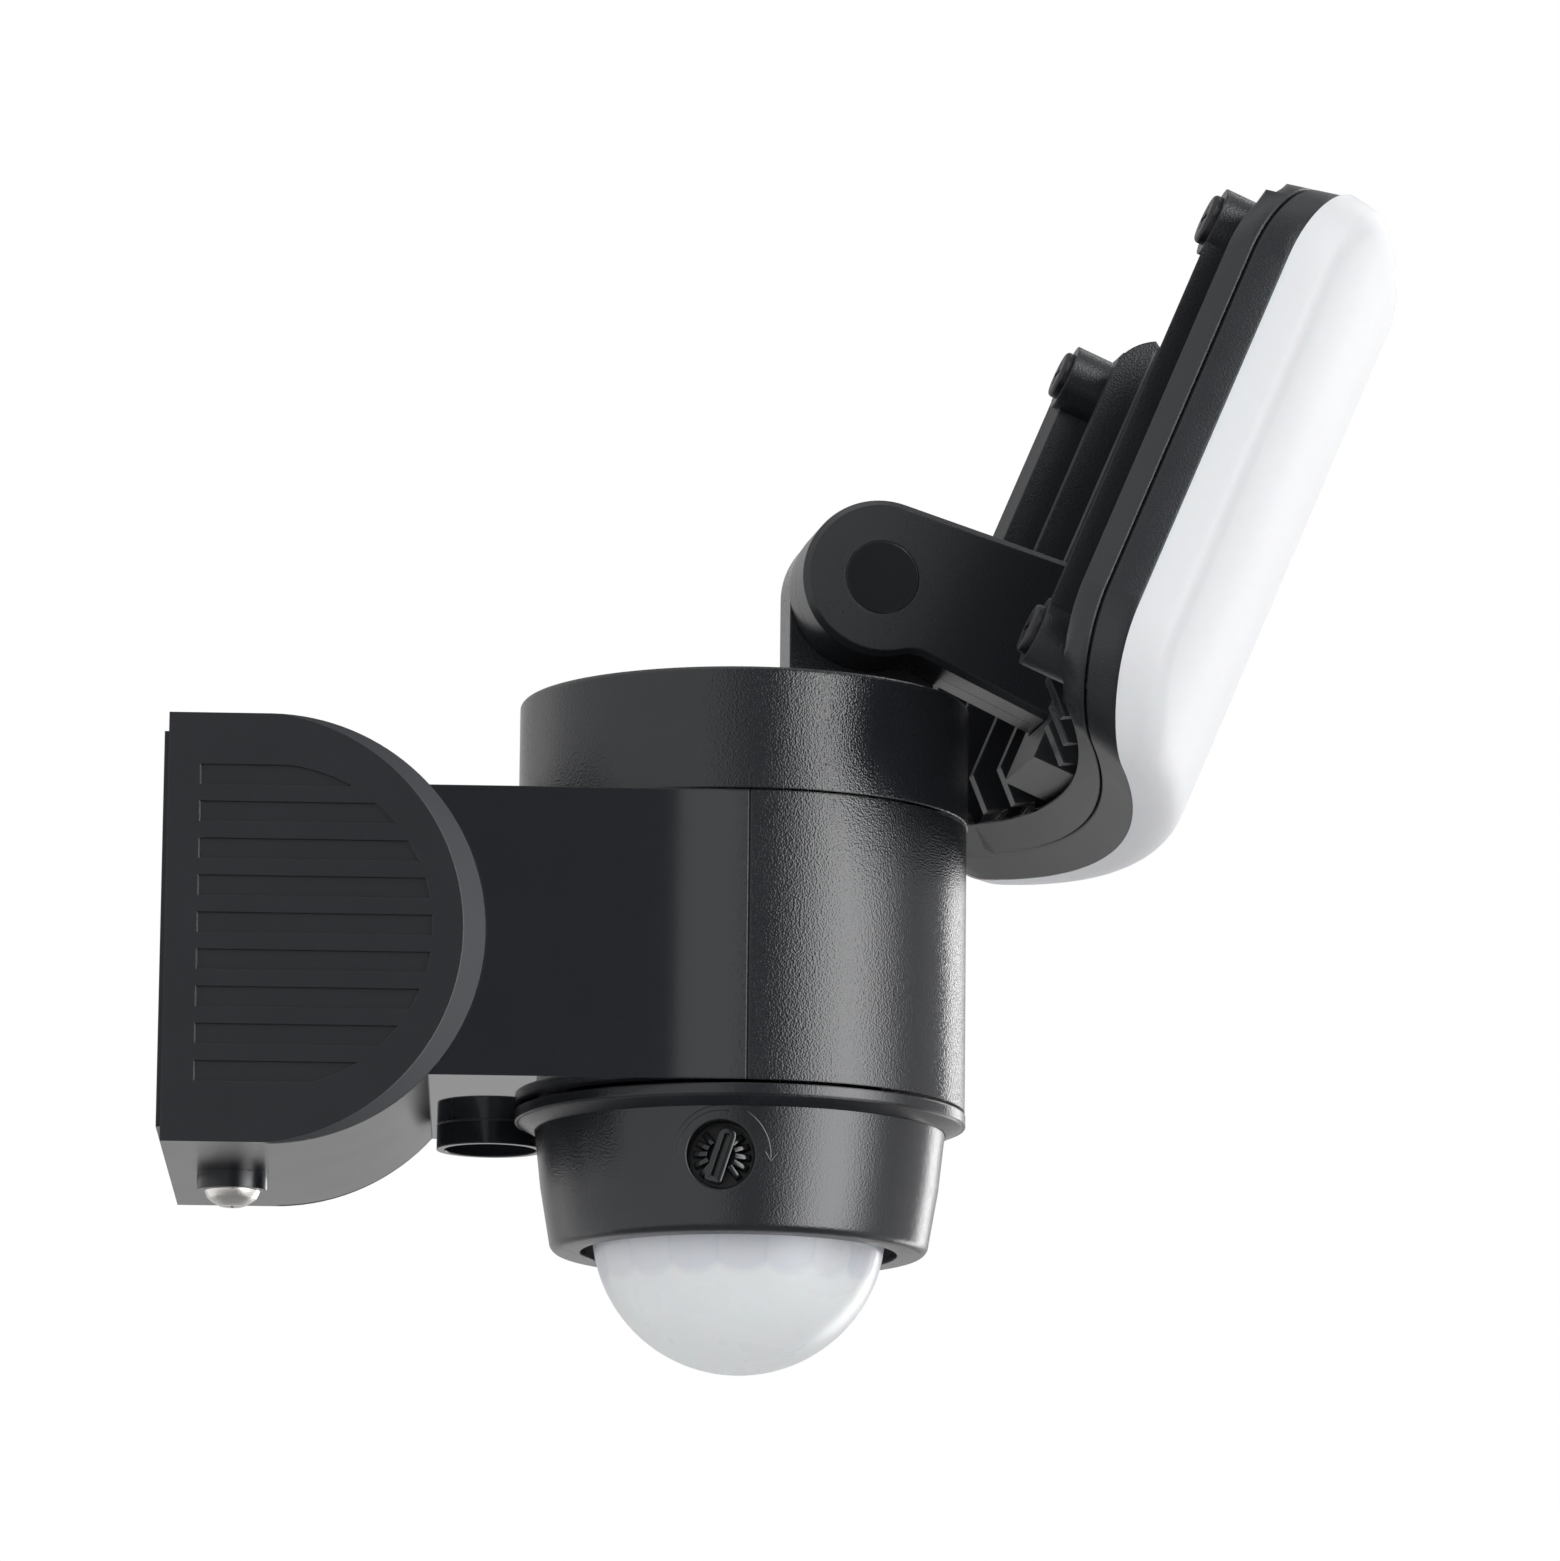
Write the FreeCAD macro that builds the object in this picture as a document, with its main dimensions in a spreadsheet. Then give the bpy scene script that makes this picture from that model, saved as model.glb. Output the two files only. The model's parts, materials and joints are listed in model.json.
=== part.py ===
import FreeCAD, Part
import math
import os
import Sketcher

os.makedirs("parts", exist_ok=True)
V = FreeCAD.Vector
doc = FreeCAD.newDocument("solar_security_light")
sheet = doc.addObject("Spreadsheet::Sheet", "dim")
nodes = []


class Size:
    """A length or an angle: its value and the formula on the sheet that gives it."""

    def __init__(self, value, text):
        self.value = value
        self.text = text

    def __add__(self, other):
        other = as_size(other)
        return Size(self.value + other.value, "(%s + %s)" % (self.text, other.text))

    def __sub__(self, other):
        other = as_size(other)
        return Size(self.value - other.value, "(%s - %s)" % (self.text, other.text))

    def __mul__(self, other):
        other = as_size(other)
        return Size(self.value * other.value, "(%s * %s)" % (self.text, other.text))

    def __truediv__(self, other):
        other = as_size(other)
        return Size(self.value / other.value, "(%s / %s)" % (self.text, other.text))

    def __radd__(self, other):
        return as_size(other) + self

    def __rsub__(self, other):
        return as_size(other) - self

    def __rmul__(self, other):
        return as_size(other) * self

    def __neg__(self):
        return as_size(0) - self


def as_size(number):
    if isinstance(number, Size):
        return number
    return Size(float(number), repr(float(number)))


def root(size):
    return Size(math.sqrt(size.value), "sqrt(%s)" % size.text)


def size(name, value):
    line = len(sizes) + 1
    sizes.append(name)
    sheet.set("A%d" % line, name)
    sheet.set("B%d" % line, repr(value))
    sheet.setAlias("B%d" % line, name)
    return Size(float(value), "dim." + name)


sizes = []

# Where the light stands: the wall is at x = 0 and x points away from it
axis_x = size("axis_x", 83.0)
gap = size("gap", 0.3)
play = size("play", 0.05)
fit = size("fit", 0.1)
over = size("over", 1.0)
sunk = size("sunk", 0.2)

# Turned case with its square neck
case_r = size("case_r", 32.5)
case_top = size("case_top", 20.9)
case_low = size("case_low", -20.6)
case_wall = size("case_wall", 2.4)
seam_step = size("seam_step", 0.25)
spigot_in_case = size("spigot_in_case", 10.9)
spigot_r = case_r - spigot_in_case
spigot_wall = size("spigot_wall", 2.2)
spigot_lap = size("spigot_lap", 3.4)
spigot_flange_r = spigot_r + spigot_lap
spigot_flange_thick = size("spigot_flange_thick", 2.2)

# Wall box: a drum with a flat back
drum_x = size("drum_x", 15.3)
drum_mid = size("drum_mid", -0.15)
drum_r = size("drum_r", 30.65)
drum_half = size("drum_half", 34.0)
drum_back = size("drum_back", 0.7)
drum_wall = size("drum_wall", 2.2)
tuck = size("tuck", 0.6)
bevel_axis = size("bevel_axis", 3.33)
bevel_small_r = size("bevel_small_r", 30.83)
bevel_large_r = size("bevel_large_r", 34.2)
bevel_deep = size("bevel_deep", 1.6)
groove_top = size("groove_top", 23.1)
groove_pitch = size("groove_pitch", 5.3)
groove_high = size("groove_high", 2.9)
groove_deep = size("groove_deep", 0.5)
groove_left = size("groove_left", 5.3)
groove_r = size("groove_r", 23.2)
groove_count = 9
lug_r = size("lug_r", 5.15)
lug_low = size("lug_low", -33.2)
lock_x = size("lock_x", 9.9)

# Wall plate
plate_thick = size("plate_thick", 3.0)
plate_slack = size("plate_slack", 0.15)
wall_hole_r = size("wall_hole_r", 2.3)
wall_hole_half = size("wall_hole_half", 17.0)
sink_r = size("sink_r", 4.4)
sink_deep = size("sink_deep", 1.2)
hook_half = size("hook_half", 18.0)
hook_wide = size("hook_wide", 9.0)
hook_thick = size("hook_thick", 2.0)
hook_reach = size("hook_reach", 4.6)
hook_root = size("hook_root", 21.0)
hook_overlap = size("hook_overlap", 2.0)
foot_out = size("foot_out", 16.5)
foot_half = size("foot_half", 7.0)
foot_high = size("foot_high", 8.0)

# Screws
lock_head_r = size("lock_head_r", 4.05)
lock_head_high = size("lock_head_high", 2.3)
lock_dome_r = size("lock_dome_r", 1.26)
lock_shank_r = size("lock_shank_r", 2.0)
lock_long = size("lock_long", 11.0)
small_head_r = size("small_head_r", 2.6)
small_head_high = size("small_head_high", 1.8)
small_shank_r = size("small_shank_r", 1.4)
slot_wide = size("slot_wide", 0.9)
slot_deep = size("slot_deep", 1.1)

# Neck where the case meets the drum
neck_half = size("neck_half", 28.0)
neck_high = size("neck_high", 17.0)
neck_overlap = size("neck_overlap", 6.0)
clamp_over = size("clamp_over", 2.5)
clamp_thick = size("clamp_thick", 2.4)
clamp_window_high = size("clamp_window_high", 6.8)
pad_over = size("pad_over", 1.0)
pad_rise = size("pad_rise", 0.4)
pad_edge = size("pad_edge", 4.0)
neck_boss_r = size("neck_boss_r", 3.4)
neck_screw_y = size("neck_screw_y", 22.8)
neck_screw_z = size("neck_screw_z", 11.8)
neck_boss_end = size("neck_boss_end", 52.0)
seam_boss_r = size("seam_boss_r", 3.4)
seam_boss_in = size("seam_boss_in", 8.3)
seam_boss_y = case_r - seam_boss_in
seam_boss_back = size("seam_boss_back", 11.0)
seam_boss_front = size("seam_boss_front", 8.0)
seam_shelf = size("seam_shelf", 4.0)
web_half = size("web_half", 1.0)
blind_end = size("blind_end", 1.0)
screw_end = size("screw_end", 2.0)

# Cable socket under the neck
socket_x = size("socket_x", 46.9)
socket_y = size("socket_y", 19.0)
socket_r = size("socket_r", 7.9)
socket_low = size("socket_low", -24.1)
socket_wall = size("socket_wall", 1.1)
socket_deep = size("socket_deep", 3.3)
jack_r = size("jack_r", 4.6)
jack_flange_r = size("jack_flange_r", 6.2)
jack_flange_thick = size("jack_flange_thick", 1.6)
jack_high = size("jack_high", 2.4)
jack_bore_r = size("jack_bore_r", 2.9)
jack_bore_deep = size("jack_bore_deep", 3.8)
jack_pin_r = size("jack_pin_r", 1.0)
jack_pin_back = size("jack_pin_back", 0.6)

# Batteries and control board inside the case
cell_r = size("cell_r", 7.1)
cell_long = size("cell_long", 50.0)
cell_back = size("cell_back", 51.5)
cell_half = size("cell_half", 7.3)
cell_tip_r = size("cell_tip_r", 2.5)
cell_tip_long = size("cell_tip_long", 1.0)
cradle_wall = size("cradle_wall", 1.2)
cradle_low = size("cradle_low", -9.0)
cradle_high = size("cradle_high", -1.5)
beam_wide = size("beam_wide", 3.0)
beam_first = size("beam_first", 54.0)
beam_second = size("beam_second", 72.0)
cradle_slot_at = size("cradle_slot_at", 60.0)
cradle_slot_wide = size("cradle_slot_wide", 6.0)
board_thick = size("board_thick", 1.6)
board_back = size("board_back", 53.0)
board_long = size("board_long", 16.0)
board_in = size("board_in", 6.5)
board_half = case_r - board_in
board_low = size("board_low", 13.0)
board_edge = size("board_edge", 3.0)
board_post_r = size("board_post_r", 2.6)
stake_r = size("stake_r", 1.1)
stake_over = size("stake_over", 0.6)
solder = size("solder", 0.2)
chip_side = size("chip_side", 8.0)
chip_deep = size("chip_deep", 1.4)
coil_side = size("coil_side", 7.0)
coil_deep = size("coil_deep", 2.5)
coil_y = size("coil_y", 10.0)
can_r = size("can_r", 2.5)
can_deep = size("can_deep", 2.8)
can_y = size("can_y", -15.0)
parts_x = size("parts_x", 57.0)

# Swivel cap on top of the case
cap_proud = size("cap_proud", 0.2)
cap_r = case_r + cap_proud
cap_top = size("cap_top", 38.8)
cap_wall = size("cap_wall", 2.4)
cap_round = size("cap_round", 0.8)
pan = size("pan", 8.5)
ring_clear = size("ring_clear", 1.9)
ring_in = spigot_r + ring_clear
ring_wide = size("ring_wide", 5.0)
ring_out = ring_in + ring_wide
ring_thick = size("ring_thick", 1.0)
ring_shelf_wide = size("ring_shelf_wide", 1.2)
ring_shelf_high = size("ring_shelf_high", 3.0)

# Hinge of the lamp head, in the frame of the swivel cap
hinge_out = size("hinge_out", 19.23)
hinge_z = size("hinge_z", 58.08)
tilt = size("tilt", 22.82)
post_near = size("post_near", 6.15)
post_far = size("post_far", 14.3)
post_r = size("post_r", 11.5)
post_right = size("post_right", 10.0)
bolt_r = size("bolt_r", 2.5)
bolt_head_r = size("bolt_head_r", 4.2)
bolt_head_high = size("bolt_head_high", 2.6)
disc_r = size("disc_r", 7.0)
disc_thick = size("disc_thick", 0.8)
nut_pocket_r = size("nut_pocket_r", 6.0)
nut_pocket_floor = size("nut_pocket_floor", 8.7)
washer_thick = size("washer_thick", 0.8)
nut_thick = size("nut_thick", 3.2)
nut_across = size("nut_across", 8.0)
cover_thick = size("cover_thick", 1.1)
cover_r = size("cover_r", 5.4)
hex_deep = size("hex_deep", 1.6)
hex_r = size("hex_r", 2.1)
washer_r = size("washer_r", 4.8)

# Arm of the lamp head, in the frame of the hinge
arm_near = size("arm_near", -6.0)
arm_seam = size("arm_seam", 0.8)
arm_far = size("arm_far", 5.85)
arm_r = size("arm_r", 11.67)
arm_bevel = size("arm_bevel", 0.9)
arm_fillet = size("arm_fillet", 5.0)
arm_under = size("arm_under", -7.815)
arm_under_slope = size("arm_under_slope", 0.0378)
arm_root_top = size("arm_root_top", 15.85)
wire_r = size("wire_r", 2.2)
wire_start = size("wire_start", 6.0)
wire_z = size("wire_z", 2.0)
root_half = size("root_half", 9.4)
root_thick = size("root_thick", 2.6)
root_low = size("root_low", -12.6)
root_high = size("root_high", 17.4)
root_back = size("root_back", 38.0)
root_screw_w = size("root_screw_w", 7.7)
root_screw_low = size("root_screw_low", -4.0)
root_screw_high = size("root_screw_high", 10.5)
root_head_r = size("root_head_r", 1.56)
root_head_high = size("root_head_high", 0.6)
root_pilot_deep = size("root_pilot_deep", 5.0)

# Lamp head: the levels run along the middle of the bent body
bend_r = size("bend_r", 124.44)
half_wide = size("half_wide", 66.03)
head_top = size("head_top", 68.58)
head_low = size("head_low", -21.66)
corner_r = size("corner_r", 17.85)
corner_share = size("corner_share", 0.85)
draft = size("draft", 0.234)
draft_angle = size("draft_angle", 13.17)
front_draft = size("front_draft", 0.137)
front_angle = size("front_angle", 7.8)
window_back = size("window_back", 6.0)
front_start = size("front_start", 19.23)
level_front = size("level_front", 53.9)
level_bezel = size("level_bezel", 47.63)
level_seam = size("level_seam", 41.75)
level_rim = size("level_rim", 37.23)
level_wall = size("level_wall", 39.3)
level_back = size("level_back", 30.4)
rim_wall = size("rim_wall", 2.2)
rib_sunk = size("rib_sunk", 0.8)
bow_over = size("bow_over", 30.0)
fin_thick = size("fin_thick", 3.0)
fin_slope = size("fin_slope", 4.2)
fin_run = size("fin_run", 5.0)
fin_foot = size("fin_foot", 0.35)
fin_end_r = size("fin_end_r", 9.0)
mid_block_half = size("mid_block_half", 10.5)
mid_block_low = size("mid_block_low", -16.0)
mid_block_high = size("mid_block_high", 18.5)
boss_in = size("boss_in", 16.03)
boss_w = half_wide - boss_in
fin_inner_in = size("fin_inner_in", 34.5)
fin_middle_in = size("fin_middle_in", 23.0)
fin_outer_in = size("fin_outer_in", 10.5)
fin_inner = boss_w - fin_inner_in
fin_middle = boss_w - fin_middle_in
fin_outer = boss_w - fin_outer_in
rail_start = boss_w
boss_mid = (head_top + head_low) / 2
boss_drop = size("boss_drop", 12.12)
boss_half = head_top - boss_mid - boss_drop
fin_low_in = size("fin_low_in", 8.86)
fin_high_in = size("fin_high_in", 8.98)
fin_low = head_low + fin_low_in
fin_high = head_top - fin_high_in
boss_r = size("boss_r", 5.1)
boss_shy = size("boss_shy", 0.05086)
head_screw_r = size("head_screw_r", 3.7)
head_screw_high = size("head_screw_high", 1.3)
head_cross_half = size("head_cross_half", 1.9)
head_cross_thin = size("head_cross_thin", 0.4)
head_cross_deep = size("head_cross_deep", 0.7)
gasket_deep = size("gasket_deep", 0.9)
gasket_inset = size("gasket_inset", 4.2)
gasket_wide = size("gasket_wide", 1.6)
shelf_thick = size("shelf_thick", 1.5)
shelf_lap = size("shelf_lap", 3.0)
bezel_wall = size("bezel_wall", 2.2)
thread_level = size("thread_level", 45.0)
thread_post_r = size("thread_post_r", 3.9)
led_clear = size("led_clear", 5.0)
led_drop = size("led_drop", 8.05)
led_half = boss_w - led_clear
led_rise = boss_half - led_drop
led_low = boss_mid - led_rise
led_high = boss_mid + led_rise
led_board_thick = size("led_board_thick", 1.2)
chip_half = size("chip_half", 2.5)
chip_high = size("chip_high", 1.4)
chip_step_w = size("chip_step_w", 15.0)
chip_step_l = size("chip_step_l", 14.0)
chip_columns = 6
tray_thick = size("tray_thick", 0.8)
tray_window_in = size("tray_window_in", 2.0)
tray_window_drop = size("tray_window_drop", 3.45)
tray_window_half = led_half - tray_window_in
tray_window_low = led_low + tray_window_drop
tray_window_high = led_high - tray_window_drop
tray_lip_wide = size("tray_lip_wide", 1.0)
skirt_inset = size("skirt_inset", 2.3)
opal_wall = size("opal_wall", 1.9)
opal_ledge = size("opal_ledge", 1.4)
opal_round = size("opal_round", 5.0)

# Motion sensor head under the case
plate_top = size("plate_top", -20.9)
plate_low = size("plate_low", -22.65)
plate_proud = size("plate_proud", 0.1)
plate_r = case_r + plate_proud
cup_step = size("cup_step", 2.8)
cup_top_r = plate_r - cup_step
cup_mid_lean = size("cup_mid_lean", 1.05)
cup_mid_r = cup_top_r - cup_mid_lean
cup_mid_z = size("cup_mid_z", -32.0)
cup_low_lean = size("cup_low_lean", 2.5)
cup_low_r = cup_top_r - cup_low_lean
cup_low_z = size("cup_low_z", -40.4)
cup_floor_z = size("cup_floor_z", -41.4)
cup_floor_lean = size("cup_floor_lean", 3.6)
cup_floor_r = cup_top_r - cup_floor_lean
cup_wall = size("cup_wall", 2.2)
cup_round = size("cup_round", 1.6)
mouth_lip = size("mouth_lip", 3.3)
mouth_r = cup_floor_r - mouth_lip
ledge_z = size("ledge_z", -38.0)
dome_clear = size("dome_clear", 1.7)
dome_r = mouth_r - dome_clear
dome_z = size("dome_z", -37.6)
dome_wall = size("dome_wall", 1.0)
dome_lap = size("dome_lap", 1.3)
dome_flange_r = mouth_r + dome_lap
dome_flange_top = size("dome_flange_top", -36.6)
locating_deep = size("locating_deep", 2.4)
locating_wall = size("locating_wall", 1.2)
cup_screw_in = size("cup_screw_in", 4.8)
cup_screw_at = cup_top_r - cup_screw_in
cup_boss_r = size("cup_boss_r", 2.7)
cup_boss_low = size("cup_boss_low", -34.0)
cup_screw_long = size("cup_screw_long", 8.0)
cup_screw_turn = -30
cup_sink = size("cup_sink", 1.0)

# Sensor electronics and the timer knob
eye_board_in = size("eye_board_in", 1.4)
eye_board_r = mouth_r - eye_board_in
eye_post_in = size("eye_post_in", 2.9)
eye_post_at = eye_board_r - eye_post_in
eye_post_r = size("eye_post_r", 2.2)
eye_board_top = size("eye_board_top", -24.6)
eye_r = size("eye_r", 4.6)
eye_low = size("eye_low", -33.0)
eye_window = size("eye_window", 2.0)
eye_pane_deep = size("eye_pane_deep", 0.3)
eye_rim_wide = size("eye_rim_wide", 0.5)
eye_rim_high = size("eye_rim_high", 0.6)
knob_turn = size("knob_turn", 6.8)
knob_z = size("knob_z", -30.8)
knob_r = size("knob_r", 4.55)
recess_r = size("recess_r", 4.9)
recess_deep = size("recess_deep", 3.35)
recess_floor = cup_mid_r - recess_deep
knob_lift = size("knob_lift", 0.2)
knob_thick = size("knob_thick", 2.0)
knob_back = recess_floor + knob_lift
knob_face = knob_back + knob_thick
recess_wall = size("recess_wall", 1.1)
stem_r = size("stem_r", 2.0)
tooth_r = size("tooth_r", 0.42)
tooth_count = 20
blade_half = size("blade_half", 0.85)
blade_long = size("blade_long", 3.3)
blade_high = size("blade_high", 0.8)
blade_slot_half = size("blade_slot_half", 0.3)
blade_slot_long = size("blade_slot_long", 2.5)
blade_turn = size("blade_turn", 15.0)
dial_half = size("dial_half", 4.6)
dial_in = size("dial_in", 8.6)
dial_deep = size("dial_deep", 4.8)
dial_front = recess_floor - dial_in
dial_back = dial_front - dial_deep
dial_peg_r = size("dial_peg_r", 0.9)
dial_peg_long = size("dial_peg_long", 2.6)


# Building blocks
def bind(thing, name, value):
    thing.setExpression(name, as_size(value).text)


def place_at(thing, x, y, z):
    bind(thing, "Placement.Base.x", x)
    bind(thing, "Placement.Base.y", y)
    bind(thing, "Placement.Base.z", z)


def block(name, x, y, z):
    thing = doc.addObject("Part::Box", name)
    bind(thing, "Length", as_size(x[1]) - x[0])
    bind(thing, "Width", as_size(y[1]) - y[0])
    bind(thing, "Height", as_size(z[1]) - z[0])
    place_at(thing, x[0], y[0], z[0])
    return thing


def along(thing, axis, start, at):
    if axis == "x":
        thing.Placement.Rotation = FreeCAD.Rotation(V(0, 1, 0), 90)
        place_at(thing, start, at[0], at[1])
    if axis == "y":
        thing.Placement.Rotation = FreeCAD.Rotation(V(1, 0, 0), -90)
        place_at(thing, at[0], start, at[1])
    if axis == "z":
        place_at(thing, at[0], at[1], start)


def rod(name, axis, radius, span, at=(0, 0)):
    thing = doc.addObject("Part::Cylinder", name)
    bind(thing, "Radius", radius)
    bind(thing, "Height", as_size(span[1]) - span[0])
    along(thing, axis, span[0], at)
    return thing


def cone(name, axis, first_r, last_r, span, at=(0, 0)):
    thing = doc.addObject("Part::Cone", name)
    bind(thing, "Radius1", first_r)
    bind(thing, "Radius2", last_r)
    bind(thing, "Height", as_size(span[1]) - span[0])
    along(thing, axis, span[0], at)
    return thing


def fuse(name, *parts):
    thing = doc.addObject("Part::MultiFuse", name)
    thing.Shapes = list(parts)
    thing.Refine = True
    return thing


def shared(name, *parts):
    thing = doc.addObject("Part::MultiCommon", name)
    thing.Shapes = list(parts)
    thing.Refine = True
    return thing


def cut(name, base, *tools):
    thing = doc.addObject("Part::Cut", name)
    thing.Base = base
    thing.Tool = tools[0]
    if len(tools) > 1:
        thing.Tool = fuse(name + "_tools", *tools)
    thing.Refine = True
    return thing


def edges_where(thing, test):
    doc.recompute()
    found = []
    for number, edge in enumerate(thing.Shape.Edges, 1):
        if all(test(vertex.Point) for vertex in edge.Vertexes):
            found.append(number)
    return found


def round_edges(name, base, radius, test):
    numbers = edges_where(base, test)
    thing = doc.addObject("Part::Fillet", name)
    thing.Base = base
    thing.Edges = [(number, radius.value, radius.value) for number in numbers]
    return thing


def bevel_edges(name, base, wide, test):
    numbers = edges_where(base, test)
    thing = doc.addObject("Part::Chamfer", name)
    thing.Base = base
    thing.Edges = [(number, wide.value, wide.value) for number in numbers]
    return thing


def sketch_on(body, name, role):
    sketch = body.newObject("Sketcher::SketchObject", name)
    plane = [part for part in body.Origin.OriginFeatures if part.Role == role][0]
    sketch.AttachmentSupport = [(plane, "")]
    sketch.MapMode = "FlatFace"
    return sketch


def hold(sketch, kind, *where, value):
    number = sketch.addConstraint(Sketcher.Constraint(kind, *where, value.value))
    sketch.setExpression("Constraints[%d]" % number, value.text)


def arc_between(first, last, radius):
    # The arc bulges to the right of the way from first to last for a positive radius
    chord = last - first
    middle = (first + last) * 0.5
    side = V(chord.y, -chord.x, 0).normalize()
    rise = math.sqrt(max(radius ** 2 - chord.Length ** 2 / 4, 0))
    away = middle + side * math.copysign(abs(radius) - rise, radius)
    return Part.Arc(first, away, last)


def draw(sketch, points):
    """Closed outline: each point is (x, y) or (x, y, radius of the arc to the next one)."""
    ends = [V(as_size(p[0]).value, as_size(p[1]).value, 0) for p in points]
    starts = []
    for number, point in enumerate(points):
        first = ends[number]
        last = ends[(number + 1) % len(points)]
        if len(point) == 3:
            sketch.addGeometry(arc_between(first, last, as_size(point[2]).value), False)
            starts.append(1 if as_size(point[2]).value > 0 else 2)
        else:
            sketch.addGeometry(Part.LineSegment(first, last), False)
            starts.append(1)
    for number, point in enumerate(points):
        after = (number + 1) % len(points)
        sketch.addConstraint(Sketcher.Constraint(
            "Coincident", number, 3 - starts[number], after, starts[after]))
        hold(sketch, "DistanceX", -1, 1, number, starts[number], value=as_size(point[0]))
        hold(sketch, "DistanceY", -1, 1, number, starts[number], value=as_size(point[1]))
        if len(point) == 3:
            wanted = as_size(point[2])
            hold(sketch, "Radius", number, value=wanted if wanted.value > 0 else -wanted)


def spin(name, points):
    body = doc.addObject("PartDesign::Body", name)
    sketch = sketch_on(body, name + "_profile", "XZ_Plane")
    draw(sketch, points)
    turn = body.newObject("PartDesign::Revolution", name + "_turn")
    turn.Profile = sketch
    turn.ReferenceAxis = (sketch, ["V_Axis"])
    turn.Angle = 360
    body.Tip = turn
    return body


def slice_across(name, points, span):
    body = doc.addObject("PartDesign::Body", name)
    sketch = sketch_on(body, name + "_outline", "XZ_Plane")
    bind(sketch, "AttachmentOffset.Base.z", -as_size(span[1]))
    draw(sketch, points)
    pad = body.newObject("PartDesign::Pad", name + "_pad")
    pad.Profile = sketch
    bind(pad, "Length", as_size(span[1]) - span[0])
    body.Tip = pad
    return body


def finish(name, thing, frame=None):
    thing.Label = name
    if frame is not None:
        thing.Placement = frame
    nodes.append((name, thing))


cap_frame = FreeCAD.Placement(V(axis_x.value, 0, 0), FreeCAD.Rotation(V(0, 0, 1), pan.value))
hinge_shift = V(hinge_out.value, 0, hinge_z.value)
hinge_frame = cap_frame * FreeCAD.Placement(hinge_shift, FreeCAD.Rotation(V(0, 1, 0), tilt.value))
eye_frame = FreeCAD.Placement(V(axis_x.value, 0, 0), FreeCAD.Rotation())
knob_yaw = -90 - knob_turn.value
knob_frame = FreeCAD.Placement(V(axis_x.value, 0, knob_z.value), FreeCAD.Rotation(V(0, 0, 1), knob_yaw))

# Wall plate with two hooks and the foot for the lock screw
plate_half = drum_half - drum_wall - plate_slack
plate_rise = drum_r - drum_wall - plate_slack
plate_bottom = drum_mid - plate_rise
plate_ceiling = drum_mid + plate_rise
plate_slab = block("plate_slab", (0, plate_thick), (-plate_half, plate_half), (plate_bottom, plate_ceiling))
foot = block("plate_foot", (0, foot_out), (-foot_half, foot_half), (plate_bottom, plate_bottom + foot_high))
hooks = []
for side in (1, -1):
    middle = hook_half * side
    span = (middle - hook_wide / 2, middle + hook_wide / 2)
    arm = block("hook_arm", (0, plate_thick + hook_reach), span, (hook_root, hook_root + hook_thick))
    out = plate_thick + hook_reach
    hook_tip = hook_root + hook_thick + hook_overlap
    tip = block("hook_tip", (out - hook_thick, out), span, (hook_root, hook_tip))
    hooks += [arm, tip]
plate_body = fuse("plate_body", plate_slab, foot, *hooks)
plate_cuts = []
for side in (1, -1):
    height = wall_hole_half * side
    plate_cuts.append(rod("wall_hole", "x", wall_hole_r, (-over, plate_thick + over), (0, height)))
    plate_cuts.append(rod("wall_sink", "x", sink_r, (plate_thick - sink_deep, plate_thick + over),
                          (0, height)))
foot_bore = rod("foot_bore", "z", lock_shank_r, (plate_bottom - over, plate_bottom + foot_high + over),
                (lock_x, 0))
finish("wall_plate", cut("plate_done", plate_body, foot_bore, *plate_cuts))

# Drum cover that hangs on the wall plate
drum_low = drum_mid - drum_r
drum_ceiling = drum_mid + drum_r
straight = block("drum_straight", (drum_back, drum_x), (-drum_half, drum_half), (drum_low, drum_ceiling))
full_round = rod("drum_full_round", "y", drum_r, (-drum_half, drum_half), (drum_x, drum_mid))
beyond = block("drum_beyond", (drum_x, drum_x + drum_r + over), (-drum_half, drum_half),
               (drum_low - over, drum_ceiling + over))
bevel_x = drum_x - bevel_axis
flat_half = drum_half - bevel_deep
lens_core = rod("bevel_core", "y", bevel_large_r, (-flat_half, flat_half), (bevel_x, drum_mid))
lens_far = cone("bevel_far", "y", bevel_large_r, bevel_small_r, (flat_half, drum_half), (bevel_x, drum_mid))
lens_near = cone("bevel_near", "y", bevel_small_r, bevel_large_r, (-drum_half, -flat_half),
                 (bevel_x, drum_mid))
lens = fuse("bevel_lens", lens_core, lens_far, lens_near)
drum_nose = shared("drum_nose", full_round, beyond, lens)
drum_outside = fuse("drum_outside", straight, drum_nose)
inner_half = drum_half - drum_wall
inner_r = drum_r - drum_wall
inner_box = block("drum_inner_box", (0, drum_x), (-inner_half, inner_half),
                  (drum_mid - inner_r, drum_mid + inner_r))
inner_round = rod("drum_inner_round", "y", inner_r, (-inner_half, inner_half), (drum_x, drum_mid))
neck_slack = neck_half + fit
neck_door = block("neck_door", (drum_x, drum_x + drum_r + 2), (-neck_slack, neck_slack),
                  (-neck_high - fit, neck_high + fit))
grooves = []
for number in range(groove_count):
    top = groove_top - groove_pitch * number
    grooves.append(block("groove", (groove_left, drum_x + groove_r), (-drum_half - over, drum_half + over),
                         (top - groove_high, top)))
groove_comb = fuse("groove_comb", *grooves)
field_round = rod("groove_field_round", "y", groove_r, (-drum_half - over, drum_half + over), (drum_x, 0))
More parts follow.
